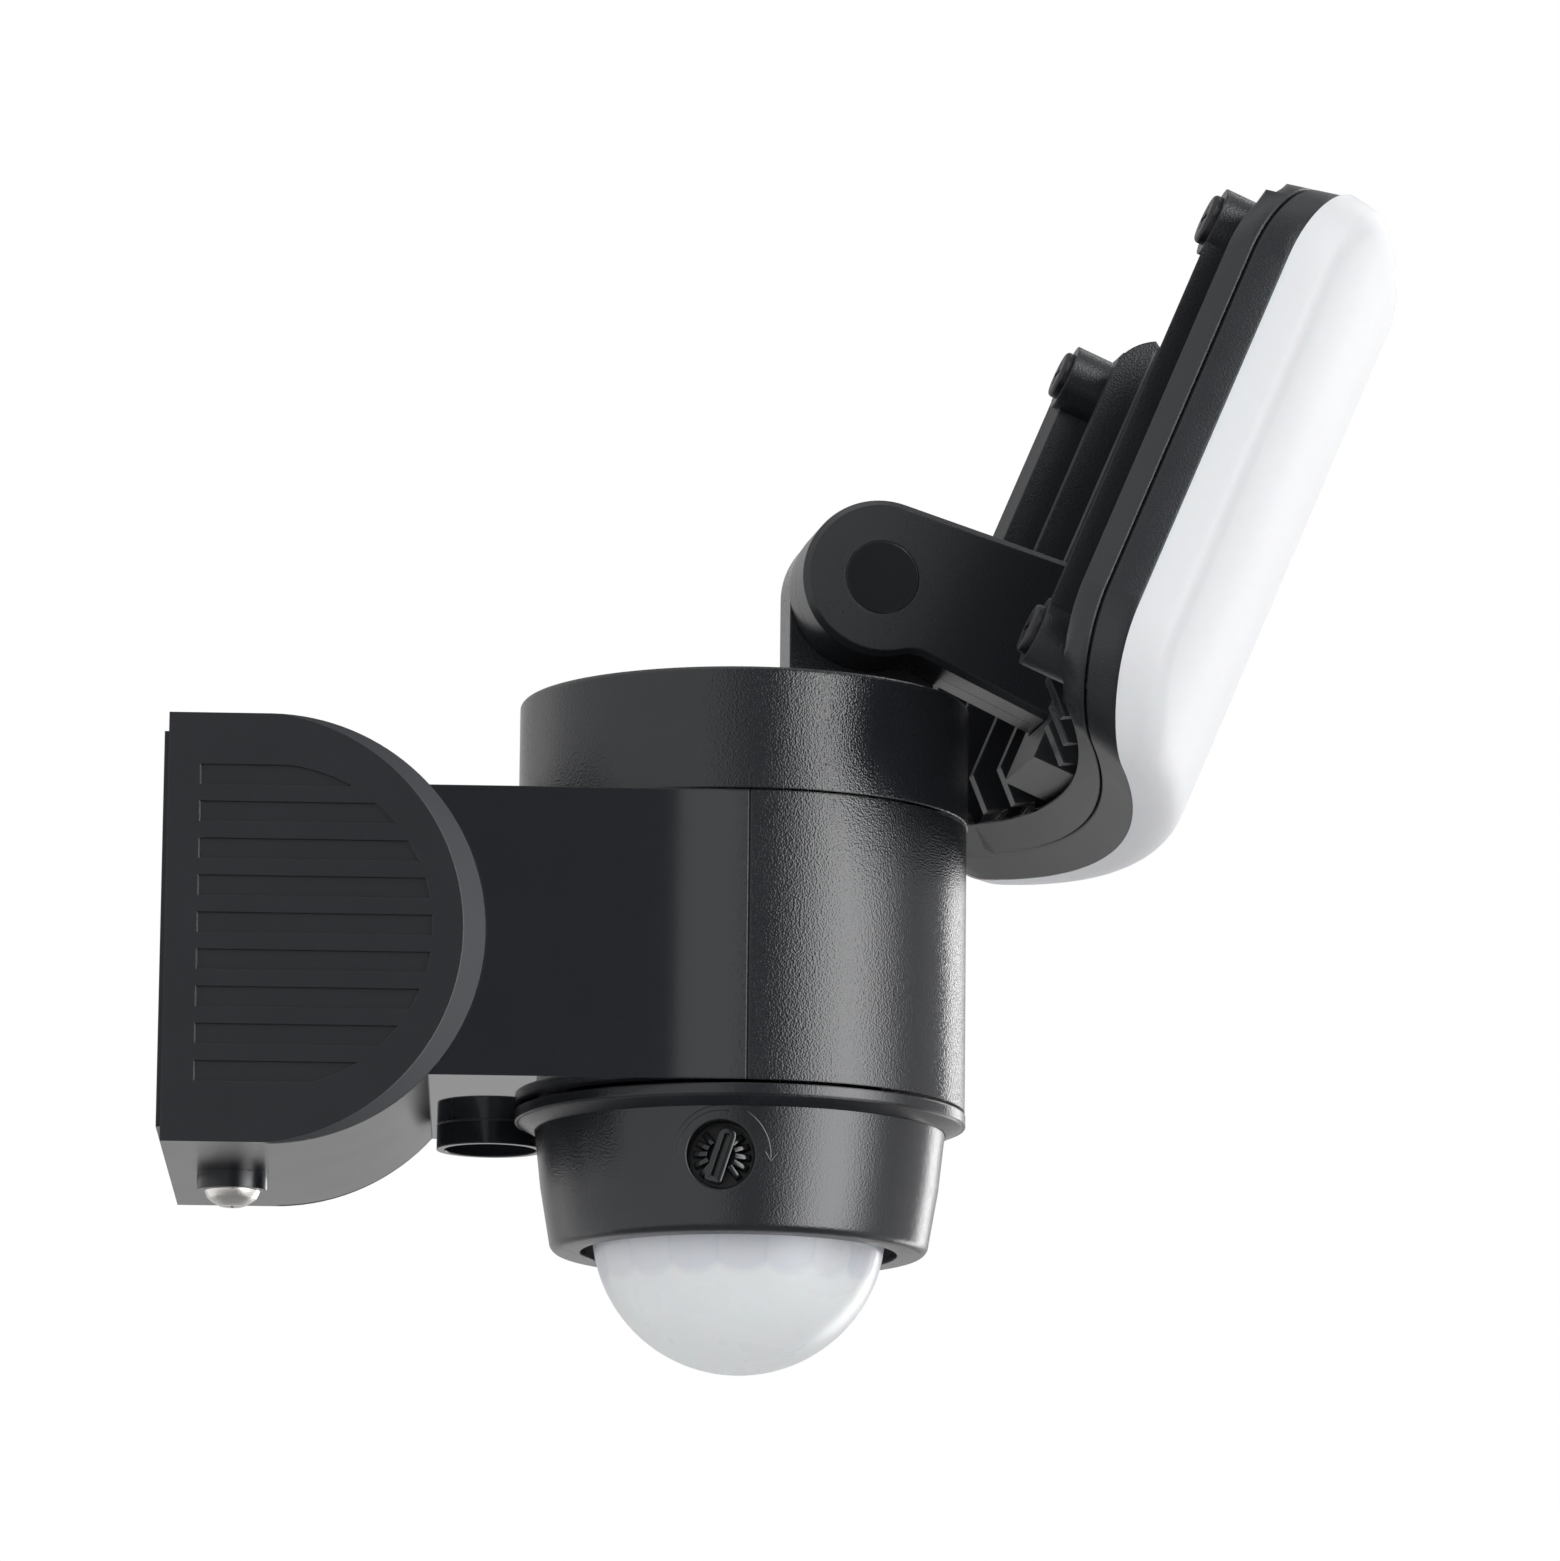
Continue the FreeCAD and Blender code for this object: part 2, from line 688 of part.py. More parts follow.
field_box = block("groove_field_box", (groove_left, drum_x), (-drum_half - over, drum_half + over),
                  (-groove_r, groove_r))
field = fuse("groove_field", field_round, field_box)
groove_core_half = drum_half - groove_deep
groove_core = block("groove_core", (0, drum_x + drum_r), (-groove_core_half, groove_core_half),
                    (drum_low, drum_ceiling))
groove_field = shared("groove_set", groove_comb, field)
groove_cut = cut("groove_cut", groove_field, groove_core)
lug = rod("lock_lug", "z", lug_r, (lug_low, drum_low + drum_wall / 2), (lock_x, 0))
hook_rib_x = plate_thick + fit
hook_rib_thick = hook_reach - hook_thick - fit * 2
hook_rib_low = hook_root + hook_thick + gap
hook_rib = block("hook_rib", (hook_rib_x, hook_rib_x + hook_rib_thick),
                 (-inner_half - over, inner_half + over),
                 (hook_rib_low, drum_ceiling - drum_wall / 2))
hollow = cut("drum_shell", drum_outside, inner_box, inner_round, neck_door, groove_cut)
lock_hole = rod("lock_hole", "z", lock_shank_r + fit, (lug_low - over, drum_low + drum_wall + over),
                (lock_x, 0))
finish("bracket_cover", cut("cover_done", fuse("cover_body", hollow, lug, hook_rib), lock_hole))

# Lock screw from below with a cross in its round head
lock_head_low = lug_low - lock_head_high
lock_head = rod("lock_head", "z", lock_head_r, (lock_head_low, lug_low), (lock_x, 0))
lock_dome = round_edges("lock_dome", lock_head, lock_dome_r,
                        lambda p: p.z < lug_low.value - lock_shank_r.value)
lock_shank = rod("lock_shank", "z", lock_shank_r, (lug_low - sunk, lug_low + lock_long), (lock_x, 0))
cross_long = lock_head_r / 2
cross_half = slot_wide / 2
cross_a = block("lock_cross_a", (lock_x - cross_long, lock_x + cross_long), (-cross_half, cross_half),
                (lock_head_low - over, lock_head_low + slot_deep))
cross_b = block("lock_cross_b", (lock_x - cross_half, lock_x + cross_half), (-cross_long, cross_long),
                (lock_head_low - over, lock_head_low + slot_deep))
finish("bracket_lock_screw", cut("lock_done", fuse("lock_solid", lock_dome, lock_shank), cross_a, cross_b))

# Rear half of the case with the neck that hugs the drum
case_box = block("case_box", (drum_x + drum_r * tuck, axis_x), (-case_r, case_r), (case_low, case_top))
saddle = rod("saddle", "y", drum_r, (-drum_half, drum_half), (drum_x, drum_mid))
case_outside = cut("case_outside", case_box, saddle)
neck_box = block("neck_box", (drum_x + inner_r * tuck, drum_x + drum_r + neck_overlap),
                 (-neck_half, neck_half), (-neck_high, neck_high))
neck_face = rod("neck_face", "y", inner_r, (-drum_half, drum_half), (drum_x, drum_mid))
neck = cut("neck", neck_box, neck_face)
case_inner_half = case_r - case_wall
inner_low = case_low + case_wall
inner_top = case_top - case_wall
cavity_box = block("case_cavity_box", (drum_x, axis_x + over), (-case_inner_half, case_inner_half),
                   (inner_low, inner_top))
cavity_end = rod("case_cavity_end", "y", drum_r + case_wall, (-drum_half, drum_half), (drum_x, drum_mid))
cavity = cut("case_cavity", cavity_box, cavity_end)
duct_half = neck_half - case_wall
duct_high = neck_high - case_wall
duct = block("neck_duct", (drum_x, drum_x + drum_r + neck_overlap), (-duct_half, duct_half),
             (-duct_high, duct_high))
spigot_hole = rod("spigot_hole", "z", spigot_r + play, (case_low - over, case_top + over), (axis_x, 0))
socket_boss = rod("socket_boss", "z", socket_r, (socket_low, case_low + sunk), (socket_x, socket_y))
socket_floor = socket_low + socket_deep
jack_top = inner_low + jack_high
rear_shell = cut("rear_shell", fuse("rear_solid", case_outside, neck, socket_boss), cavity, duct,
                 spigot_hole)
rear_adds = []
rear_cuts = [rod("socket_bore", "z", socket_r - socket_wall, (socket_low - over, socket_floor),
                 (socket_x, socket_y)),
             rod("jack_hole", "z", jack_r, (socket_low - over, jack_top + fit), (socket_x, socket_y))]
for side_y in (1, -1):
    for side_z in (1, -1):
        at = (neck_screw_y * side_y, neck_screw_z * side_z)
        post = rod("neck_boss", "x", neck_boss_r, (drum_x + inner_r * tuck, neck_boss_end), at)
        rear_adds.append(cut("neck_boss_end", post, neck_face))
        rear_cuts.append(rod("neck_screw_hole", "x", small_shank_r, (drum_x, neck_boss_end - blind_end),
                             at))
for side in (1, -1):
    at = (seam_boss_y * side, 0)
    rear_adds.append(rod("seam_boss", "x", seam_boss_r, (axis_x - seam_boss_back, axis_x), at))
    web_y = (seam_boss_y, case_inner_half + over) if side > 0 else (-case_inner_half - over, -seam_boss_y)
    rear_adds.append(block("seam_web", (axis_x - seam_boss_back, axis_x), web_y, (-web_half, web_half)))
    rear_cuts.append(rod("seam_screw_hole", "x", small_shank_r + fit,
                         (axis_x - seam_boss_back - over, axis_x + over), at))
    rear_cuts.append(rod("seam_head_hole", "x", small_head_r + fit,
                         (axis_x - seam_boss_back - over, axis_x - seam_shelf), at))
board_corners = []
for corner_x in (board_back + board_edge, board_back + board_long - board_edge):
    for side in (1, -1):
        board_corners.append((corner_x, (board_half - board_edge) * side))
for at in board_corners:
    rear_adds.append(rod("board_post", "z", board_post_r, (board_low + board_thick, inner_top + over), at))
    rear_adds.append(rod("board_stake", "z", stake_r,
                         (board_low - stake_over, board_low + board_thick + over), at))
for start in (beam_first, beam_second):
    rear_adds.append(block("cradle_beam", (start, start + beam_wide),
                           (-case_inner_half - over, case_inner_half + over),
                           (cradle_low - beam_wide, cradle_low)))
rear_full = fuse("rear_full", rear_shell, *rear_adds)
finish("body_rear_shell", cut("rear_done", rear_full, *rear_cuts))

# Front half of the case
front_half = block("front_half", (axis_x, axis_x + case_r + over), (-case_r - over, case_r + over),
                   (case_low, case_top))
front_round = rod("front_round", "z", case_r, (case_low, case_top), (axis_x, 0))
seam_ring = rod("seam_ring", "z", case_r + over, (case_low - over, case_top + over), (axis_x, 0))
seam_keep = rod("seam_keep", "z", case_r - seam_step, (case_low + seam_step, case_top - seam_step),
                (axis_x, 0))
seam_zone = block("seam_zone", (axis_x - over, axis_x + seam_step), (-case_r - over * 2, case_r + over * 2),
                  (case_low - over * 2, case_top + over * 2))
seam_line = shared("seam_line", cut("seam_skin", seam_ring, seam_keep), seam_zone)
front_cavity = rod("front_cavity", "z", case_inner_half, (inner_low, inner_top), (axis_x, 0))
front_shell = cut("front_shell", shared("front_solid", front_half, front_round), front_cavity, spigot_hole,
                  seam_line)
front_adds = []
front_cuts = []
for side in (1, -1):
    at = (seam_boss_y * side, 0)
    front_adds.append(rod("front_boss", "x", seam_boss_r, (axis_x, axis_x + seam_boss_front), at))
    web_y = (seam_boss_y, case_inner_half) if side > 0 else (-case_inner_half, -seam_boss_y)
    front_adds.append(block("front_web", (axis_x, axis_x + seam_boss_front), web_y, (-web_half, web_half)))
    front_cuts.append(rod("front_screw_hole", "x", small_shank_r,
                          (axis_x - over, axis_x + seam_boss_front - blind_end), at))
front_raw = fuse("front_raw", front_shell, *front_adds)
front_trim = shared("front_trim", front_raw, front_round)
finish("body_front_shell", cut("front_done", front_trim, *front_cuts))

# Clamp plate inside the drum and the screws that hold the neck and the two halves
clamp_half = neck_half + clamp_over
clamp_high = neck_high + clamp_over
clamp_box = block("clamp_box", (drum_x + inner_r * tuck, drum_x + drum_r), (-clamp_half, clamp_half),
                  (-clamp_high, clamp_high))
clamp_outer = rod("clamp_outer", "y", inner_r, (-clamp_half, clamp_half), (drum_x, drum_mid))
clamp_inner = rod("clamp_inner", "y", inner_r - clamp_thick, (-drum_half, drum_half), (drum_x, drum_mid))
clamp_window_half = neck_screw_y - neck_boss_r - pad_over
clamp_window = block("clamp_window", (drum_x, drum_x + drum_r), (-clamp_window_half, clamp_window_half),
                     (-clamp_window_high, clamp_window_high))
clamp_holes = []
clamp_seats = []
pad_z = neck_screw_z + pad_edge
screw_seat_x = drum_x + root(inner_r * inner_r - pad_z * pad_z) - clamp_thick - pad_rise
number = 0
for side_y in (1, -1):
    for side_z in (1, -1):
        number += 1
        at = (neck_screw_y * side_y, neck_screw_z * side_z)
        clamp_holes.append(rod("clamp_hole", "x", small_shank_r + fit, (drum_x, drum_x + drum_r), at))
        clamp_seats.append(rod("clamp_seat", "x", small_head_r + pad_over, (screw_seat_x, drum_x + drum_r),
                               at))
        clamp_holes.append(rod("clamp_recess", "x", small_head_r + fit * 2, (drum_x, screw_seat_x), at))
        head = rod("neck_screw_head", "x", small_head_r, (screw_seat_x - small_head_high, screw_seat_x), at)
        shank = rod("neck_screw_shank", "x", small_shank_r,
                    (screw_seat_x - sunk, neck_boss_end - screw_end), at)
        finish("neck_screw_%d" % number, fuse("neck_screw", head, shank))
clamp_pads = shared("clamp_pads", fuse("clamp_seat_set", *clamp_seats), clamp_outer)
clamp_plate = cut("clamp_plate_shape", shared("clamp_solid", clamp_box, clamp_outer), clamp_inner)
finish("neck_clamp_plate", cut("clamp_done", fuse("clamp_with_pads", clamp_plate, clamp_pads),
                               clamp_window, *clamp_holes))
for number, side in enumerate((1, -1), 1):
    at = (seam_boss_y * side, 0)
    seat = axis_x - seam_shelf
    head = rod("seam_screw_head", "x", small_head_r, (seat - small_head_high, seat), at)
    shank = rod("seam_screw_shank", "x", small_shank_r,
                (seat - sunk, axis_x + seam_boss_front - screw_end), at)
    finish("shell_screw_%d" % number, fuse("seam_screw", head, shank))

# Cable socket insert: its flange sits on the case floor, flat on the side of the drum
jack_at = (socket_x, socket_y)
jack_face = socket_floor + fit
jack_body = rod("jack_body", "z", jack_r, (jack_face, jack_top), jack_at)
jack_round = rod("jack_round", "z", jack_flange_r, (inner_low, inner_low + jack_flange_thick), jack_at)
jack_keep = rod("jack_keep", "y", drum_r + case_wall + fit, (-drum_half, drum_half), (drum_x, drum_mid))
jack_flange = cut("jack_flange", jack_round, jack_keep)
jack_bore = rod("jack_bore", "z", jack_bore_r, (jack_face - over, jack_face + jack_bore_deep), jack_at)
jack_pin = rod("jack_pin", "z", jack_pin_r, (jack_face + jack_pin_back, jack_top - sunk), jack_at)
jack_case = cut("jack_case", fuse("jack_solid", jack_body, jack_flange), jack_bore)
finish("cable_socket", fuse("jack_done", jack_case, jack_pin))

# Two cells in a cradle and the control board under the case top
for number, side in enumerate((1, -1), 1):
    at = (cell_half * side, 0)
    can = rod("cell_can", "x", cell_r, (cell_back, cell_back + cell_long - cell_tip_long), at)
    tip = rod("cell_tip", "x", cell_tip_r,
              (cell_back + cell_long - cell_tip_long - sunk, cell_back + cell_long), at)
    finish("battery_cell_%d" % number, fuse("cell", can, tip))
cradle_half = cell_half + cell_r + cradle_wall
cradle_start = cell_back - fit
cradle_end = cell_back + cell_long + fit
cradle_box = block("cradle_box", (cradle_start - cradle_wall, cradle_end + cradle_wall),
                   (-cradle_half, cradle_half),
                   (cradle_low, cradle_high))
cradle_room = []
for side in (1, -1):
    cradle_room.append(rod("cradle_room", "x", cell_r, (cradle_start, cradle_end), (cell_half * side, 0)))
cradle_slot = block("cradle_slot", (cradle_slot_at, cradle_slot_at + cradle_slot_wide),
                    (-cradle_half - over, cradle_half + over), (cradle_low / 2, 0))
finish("battery_cradle", cut("cradle_done", cradle_box, cradle_slot, *cradle_room))
board_end = board_back + board_long
board_slab = block("control_slab", (board_back, board_end), (-board_half, board_half),
                   (board_low, board_low + board_thick))
control_chip = block("control_chip", (parts_x, parts_x + chip_side), (-chip_side / 2, chip_side / 2),
                     (board_low - chip_deep, board_low + solder))
control_coil = block("control_coil", (parts_x, parts_x + coil_side), (coil_y, coil_y + coil_side),
                     (board_low - coil_deep, board_low + solder))
control_can = rod("control_can", "z", can_r, (board_low - can_deep, board_low + solder),
                  (parts_x + can_r, can_y))
board_all = fuse("control_all", board_slab, control_chip, control_coil, control_can)
board_holes = []
for at in board_corners:
    board_holes.append(rod("board_hole", "z", stake_r, (board_low - over, board_low + board_thick + over), at))
finish("control_board", cut("control_done", board_all, *board_holes))

# Swivel cap: a shallow lid with a spigot whose flange sits under the case top, and the hinge post
cap_low = case_top + gap
flange_top = inner_top - play
flange_low = flange_top - spigot_flange_thick
spigot_in = spigot_r - spigot_wall
cap_side = cap_r - cap_wall
cap_lid = cap_top - cap_wall
cap_solid = spin("cap_solid", [
    (cap_r, cap_low), (cap_r, cap_top - cap_round, cap_round), (cap_r - cap_round, cap_top), (0, cap_top),
    (0, cap_lid), (spigot_in, cap_lid), (spigot_in, flange_low), (spigot_flange_r, flange_low),
    (spigot_flange_r, flange_top), (spigot_r, flange_top), (spigot_r, cap_lid),
    (cap_side, cap_lid), (cap_side, cap_low)])
ring_shelf = rod("ring_shelf", "z", ring_out + ring_shelf_wide, (cap_low, cap_low + ring_shelf_high))
ring_shelf_hole = rod("ring_shelf_hole", "z", spigot_r - sunk,
                      (cap_low - over, cap_low + ring_shelf_high + over))
ring_band = cut("ring_band", ring_shelf, ring_shelf_hole)
ring_low = case_top + play / 2
ring_seat = rod("ring_seat", "z", ring_out + fit, (cap_low - over, ring_low + ring_thick))
ring_seat_hole = rod("ring_seat_hole", "z", ring_in - fit,
                     (cap_low - over * 2, ring_low + ring_thick + over))
ring_groove = cut("ring_groove", ring_seat, ring_seat_hole)
post_left = hinge_out - post_r
post_edge = hinge_out + post_right
post_side_z = hinge_z + root(post_r * post_r - post_right * post_right)
post_outline = [(post_left, cap_lid), (post_edge, cap_lid), (post_edge, post_side_z, post_r),
                (hinge_out, hinge_z + post_r, post_r),
                (post_left, hinge_z)]
post = slice_across("hinge_post", post_outline, (post_near, post_far))
hinge_at = (hinge_out, hinge_z)
post_bore = rod("post_bore", "y", bolt_r + play, (post_near - over, post_far + over), hinge_at)
post_washer_seat = rod("post_washer_seat", "y", disc_r + fit, (post_near - over, arm_far + disc_thick),
                       hinge_at)
post_nut_seat = rod("post_nut_seat", "y", nut_pocket_r, (nut_pocket_floor, post_far + over), hinge_at)
cap_full = fuse("cap_full", cap_solid, ring_band, post)
cap_done = cut("cap_done", cap_full, ring_groove, post_bore, post_washer_seat, post_nut_seat)
finish("swivel_cap", cap_done, cap_frame)
slide_out = rod("slide_out", "z", ring_out, (ring_low, ring_low + ring_thick))
slide_in = rod("slide_in", "z", ring_in, (ring_low - over, ring_low + ring_thick + over))
finish("swivel_ring", cut("slide_done", slide_out, slide_in), cap_frame)

# Hinge hardware: friction disc, bolt, spring washer, nut and the cover behind it
disc_out = rod("disc_out", "y", disc_r, (arm_far, arm_far + disc_thick), hinge_at)
disc_in = rod("disc_in", "y", bolt_r + fit, (arm_far - over, arm_far + disc_thick + over), hinge_at)
finish("friction_disc", cut("disc_done", disc_out, disc_in), cap_frame)
bolt_seat = arm_near + cover_thick + fit + bolt_head_high
nut_top = nut_pocket_floor + washer_thick + nut_thick
bolt_head = rod("bolt_head", "y", bolt_head_r, (bolt_seat - bolt_head_high, bolt_seat), hinge_at)
bolt_shank = rod("bolt_shank", "y", bolt_r, (bolt_seat - sunk, nut_top + sunk), hinge_at)
bolt_slot = rod("bolt_slot", "y", hex_r,
                (bolt_seat - bolt_head_high - over, bolt_seat - bolt_head_high + hex_deep), hinge_at)
finish("hinge_bolt", cut("bolt_done", fuse("bolt_solid", bolt_head, bolt_shank), bolt_slot), cap_frame)
spring_out = rod("spring_out", "y", washer_r, (nut_pocket_floor, nut_pocket_floor + washer_thick), hinge_at)
spring_in = rod("spring_in", "y", bolt_r + fit,
                (nut_pocket_floor - over, nut_pocket_floor + washer_thick + over), hinge_at)
finish("spring_washer", cut("spring_done", spring_out, spring_in), cap_frame)
nut_low = nut_pocket_floor + washer_thick
nut_body = doc.addObject("Part::Prism", "nut_body")
nut_body.Polygon = 6
bind(nut_body, "Circumradius", nut_across / math.sqrt(3))
bind(nut_body, "Height", nut_thick)
along(nut_body, "y", nut_low, hinge_at)
nut_bore = rod("nut_bore", "y", bolt_r, (nut_low - over, nut_top + over), hinge_at)
finish("hinge_nut", cut("nut_done", nut_body, nut_bore), cap_frame)
far_plug = rod("far_plug", "y", nut_pocket_r, (post_far - cover_thick, post_far), hinge_at)
far_plug_room = rod("far_plug_room", "y", bolt_r,
                    (post_far - cover_thick - over, post_far - cover_thick / 2), hinge_at)
finish("hinge_cover_far", cut("far_plug_done", far_plug, far_plug_room), cap_frame)

# Arm of the lamp head in two mouldings with a root flange behind the housing wall
root_front = root_back + root_thick
reach_square = root_front * root_front + arm_root_top * arm_root_top
reach_tangent = root(reach_square - arm_r * arm_r)
top_touch_x = arm_r * (arm_r * root_front - reach_tangent * arm_root_top) / reach_square
top_touch_z = arm_r * (arm_r * arm_root_top + reach_tangent * root_front) / reach_square
slant = root(1 + arm_under_slope * arm_under_slope)
drop = arm_under - arm_fillet * slant
spread = arm_r + arm_fillet
inside = arm_under_slope * arm_under_slope * drop * drop - slant * slant * (drop * drop - spread * spread)
fillet_x = (arm_under_slope * drop + root(inside)) / (slant * slant)
fillet_z = drop - arm_under_slope * fillet_x
arm_root_low = arm_under - arm_under_slope * root_front
arm_outline = [
    (top_touch_x, top_touch_z, arm_r), (-arm_r, 0, arm_r), (0, -arm_r, arm_r),
    (fillet_x * arm_r / spread, fillet_z * arm_r / spread, -arm_fillet),
    (fillet_x + arm_fillet * arm_under_slope / slant, fillet_z + arm_fillet / slant),
    (root_front, arm_root_low), (root_front, arm_root_top)]


def arm_half(name, span, screws):
    outline = slice_across(name + "_arm", arm_outline, span)
    if span[0] is arm_near:
        outline = bevel_edges(name + "_edge", outline, arm_bevel,
                              lambda p: abs(p.y - arm_near.value) < 0.001)
    inner = span[0] if span[0] is arm_seam else -root_half
    outer = root_half if span[0] is arm_seam else span[1]
    flange = block(name + "_flange", (root_back, root_back + root_thick), (inner, outer),
                   (root_low, root_high))
    tools = [rod(name + "_wire_way", "x", wire_r, (wire_start, root_back + root_thick + over),
                 (arm_seam, wire_z)),
             rod(name + "_bore", "y", bolt_r + play, (span[0] - over, span[1] + over))]
    for height in (root_screw_low, root_screw_high):
        tools.append(rod(name + "_screw_way", "x", small_shank_r + fit,
                         (root_back - over, root_back + root_thick + over), (screws, height)))
    return fuse(name + "_solid", outline, flange), tools


near_solid, near_tools = arm_half("near", (arm_near, arm_seam), -root_screw_w)
near_tools.append(rod("near_head_room", "y", bolt_head_r + fit * 4, (arm_near - over, bolt_seat)))
near_tools.append(rod("near_cover_room", "y", cover_r + play, (arm_near - over, arm_near + cover_thick)))
finish("head_arm_near", cut("near_done", near_solid, *near_tools), hinge_frame)
far_solid, far_tools = arm_half("far", (arm_seam, arm_far), root_screw_w)
finish("head_arm_far", cut("far_done", far_solid, *far_tools), hinge_frame)
near_plug = rod("near_plug", "y", cover_r, (arm_near, arm_near + cover_thick))
near_plug_room = rod("near_plug_room", "y", bolt_r,
                     (arm_near + cover_thick / 2, arm_near + cover_thick + over))
finish("hinge_cover_near", cut("near_plug_done", near_plug, near_plug_room), hinge_frame)


# Bent bodies of the lamp head
def sag(width):
    return bend_r - root(bend_r * bend_r - width * width)


def bow(name, level):
    return rod(name, "z", bend_r, (head_low - bow_over, head_top + bow_over), (level - bend_r, 0))


def on_bow(level):
    """Tells whether a point lies on the bent surface at this level."""
    middle = level.value - bend_r.value
    return lambda p: abs(math.hypot(p.x - middle, p.y) - bend_r.value) < 0.01


def window(name, inset, plane_level, lean, angle, depth, forward):
    """Rounded window outline whose walls lean, laid out so that the bent levels keep one inset."""
    side = half_wide - inset
    flank = plane_level + sag(half_wide) - level_bezel
    wide = side + lean * flank
    rise_top = head_top - inset + lean * (plane_level - level_bezel)
    rise_low = head_low + inset - lean * (plane_level - level_bezel)
    corner = corner_r - inset + lean * (plane_level + sag(half_wide * corner_share) - level_bezel)
    edge = bend_r / (lean if lean.value > 0 else -lean)
    curl = 1 if lean.value > 0 else -1
    body = doc.addObject("PartDesign::Body", name)
    sketch = sketch_on(body, name + "_outline", "YZ_Plane")
    bind(sketch, "AttachmentOffset.Base.z", plane_level)
    w, r, big = wide.value, corner.value, edge.value
    top_mid, low_mid = rise_top.value, rise_low.value
    lean_in = math.asin((w - r) / (big + curl * r))
    reach = math.sin(lean_in) * big
    lift = curl * big * (1 - math.cos(lean_in))
    touch_top = top_mid + lift
    touch_low = low_mid - lift
    turn_y = touch_top - r * math.cos(lean_in)
    base_y = touch_low + r * math.cos(lean_in)
    diagonal = r * math.sqrt(0.5)
    geometry = [
        Part.Arc(V(-reach, touch_top, 0), V(0, top_mid, 0), V(reach, touch_top, 0)),
        Part.Arc(V(reach, touch_top, 0), V(w - r + diagonal, turn_y + diagonal, 0), V(w, turn_y, 0)),
        Part.LineSegment(V(w, turn_y, 0), V(w, base_y, 0)),
        Part.Arc(V(w, base_y, 0), V(w - r + diagonal, base_y - diagonal, 0), V(reach, touch_low, 0)),
        Part.Arc(V(reach, touch_low, 0), V(0, low_mid, 0), V(-reach, touch_low, 0)),
        Part.Arc(V(-reach, touch_low, 0), V(-w + r - diagonal, base_y - diagonal, 0), V(-w, base_y, 0)),
        Part.LineSegment(V(-w, base_y, 0), V(-w, turn_y, 0)),
        Part.Arc(V(-w, turn_y, 0), V(-w + r - diagonal, turn_y + diagonal, 0), V(-reach, touch_top, 0))]
    for piece in geometry:
        sketch.addGeometry(piece, False)
    edge_start = 1 if curl > 0 else 2
    starts = [edge_start, 2, 1, 2, edge_start, 2, 1, 2]
    for number in range(8):
        after = (number + 1) % 8
        sketch.addConstraint(Sketcher.Constraint("Tangent", number, 3 - starts[number], after,
                                                 starts[after]))
    hold(sketch, "Radius", 1, value=corner)
    for number in (3, 5, 7):
        sketch.addConstraint(Sketcher.Constraint("Equal", 1, number))
    hold(sketch, "Radius", 0, value=edge)
    sketch.addConstraint(Sketcher.Constraint("Equal", 0, 4))
    sketch.addConstraint(Sketcher.Constraint("Vertical", 2))
    sketch.addConstraint(Sketcher.Constraint("Vertical", 6))
    hold(sketch, "DistanceX", -1, 1, 2, 1, value=wide)
    hold(sketch, "DistanceX", 6, 1, -1, 1, value=wide)
    sketch.addConstraint(Sketcher.Constraint("PointOnObject", 0, 3, -2))
    sketch.addConstraint(Sketcher.Constraint("PointOnObject", 4, 3, -2))
    hold(sketch, "DistanceY", -1, 1, 0, 3, value=rise_top + edge * curl)
    hold(sketch, "DistanceY", -1, 1, 4, 3, value=rise_low - edge * curl)
    pad = body.newObject("PartDesign::Pad", name + "_pad")
    pad.Profile = sketch
    pad.Reversed = not forward
    bind(pad, "Length", depth)
    bind(pad, "TaperAngle", angle)
    body.Tip = pad
    return body


def back_window(name, inset):
    return window(name, inset, level_bezel, draft, -draft_angle, level_bezel - window_back, False)


def front_window(name, inset):
    return window(name, inset, front_start, -front_draft, -front_angle, level_front - front_start + over,
                  True)


outer_form = back_window("outer_form", as_size(0))
rim_form = back_window("rim_form", rim_wall)
bow_bezel = bow("bow_bezel", level_bezel)
bow_seam = bow("bow_seam", level_seam)
bow_rim = bow("bow_rim", level_rim)
bow_wall = bow("bow_wall", level_wall)
bow_back = bow("bow_back", level_back)
bow_root = bow("bow_root", level_wall + rib_sunk)

# Rear housing of the lamp head: bent tray, cooling fins, rails, corner bosses and the block for the arm
rim_block = cut("rim_block", shared("rim_solid", outer_form, bow_seam), bow_rim)
tray = shared("rear_tray", rim_form, bow_wall)
pan_shell = cut("pan_shell", rim_block, tray)
ribs = []
for side in (1, -1):
    for number, start in enumerate((fin_inner, fin_middle, fin_outer)):
        near_edge_w = start if side > 0 else -start - fin_thick
        edge_n = level_back - sag(start)
        front_n = level_wall + rib_sunk
        low_end = fin_low - fin_slope
        high_end = fin_high + fin_run
        outline = [(edge_n, fin_low), (edge_n + fin_slope, low_end), (front_n, low_end - fin_foot),
                   (front_n, high_end + fin_foot),
                   (edge_n + fin_slope, high_end, fin_end_r), (edge_n, fin_high)]
        ribs.append(slice_across("fin_%d%s" % (number, "a" if side > 0 else "b"), outline,
                                 (near_edge_w, near_edge_w + fin_thick)))
    rail_w = (rail_start, rail_start + fin_thick) if side > 0 else (-rail_start - fin_thick, -rail_start)
    ribs.append(block("rail", (level_back - sag(rail_start + fin_thick) - over, level_wall), rail_w,
                      (boss_mid - boss_half, boss_mid + boss_half)))
mid_block = block("mid_block", (level_back - fit, level_wall + rib_sunk),
                  (-mid_block_half, mid_block_half), (mid_block_low, mid_block_high))
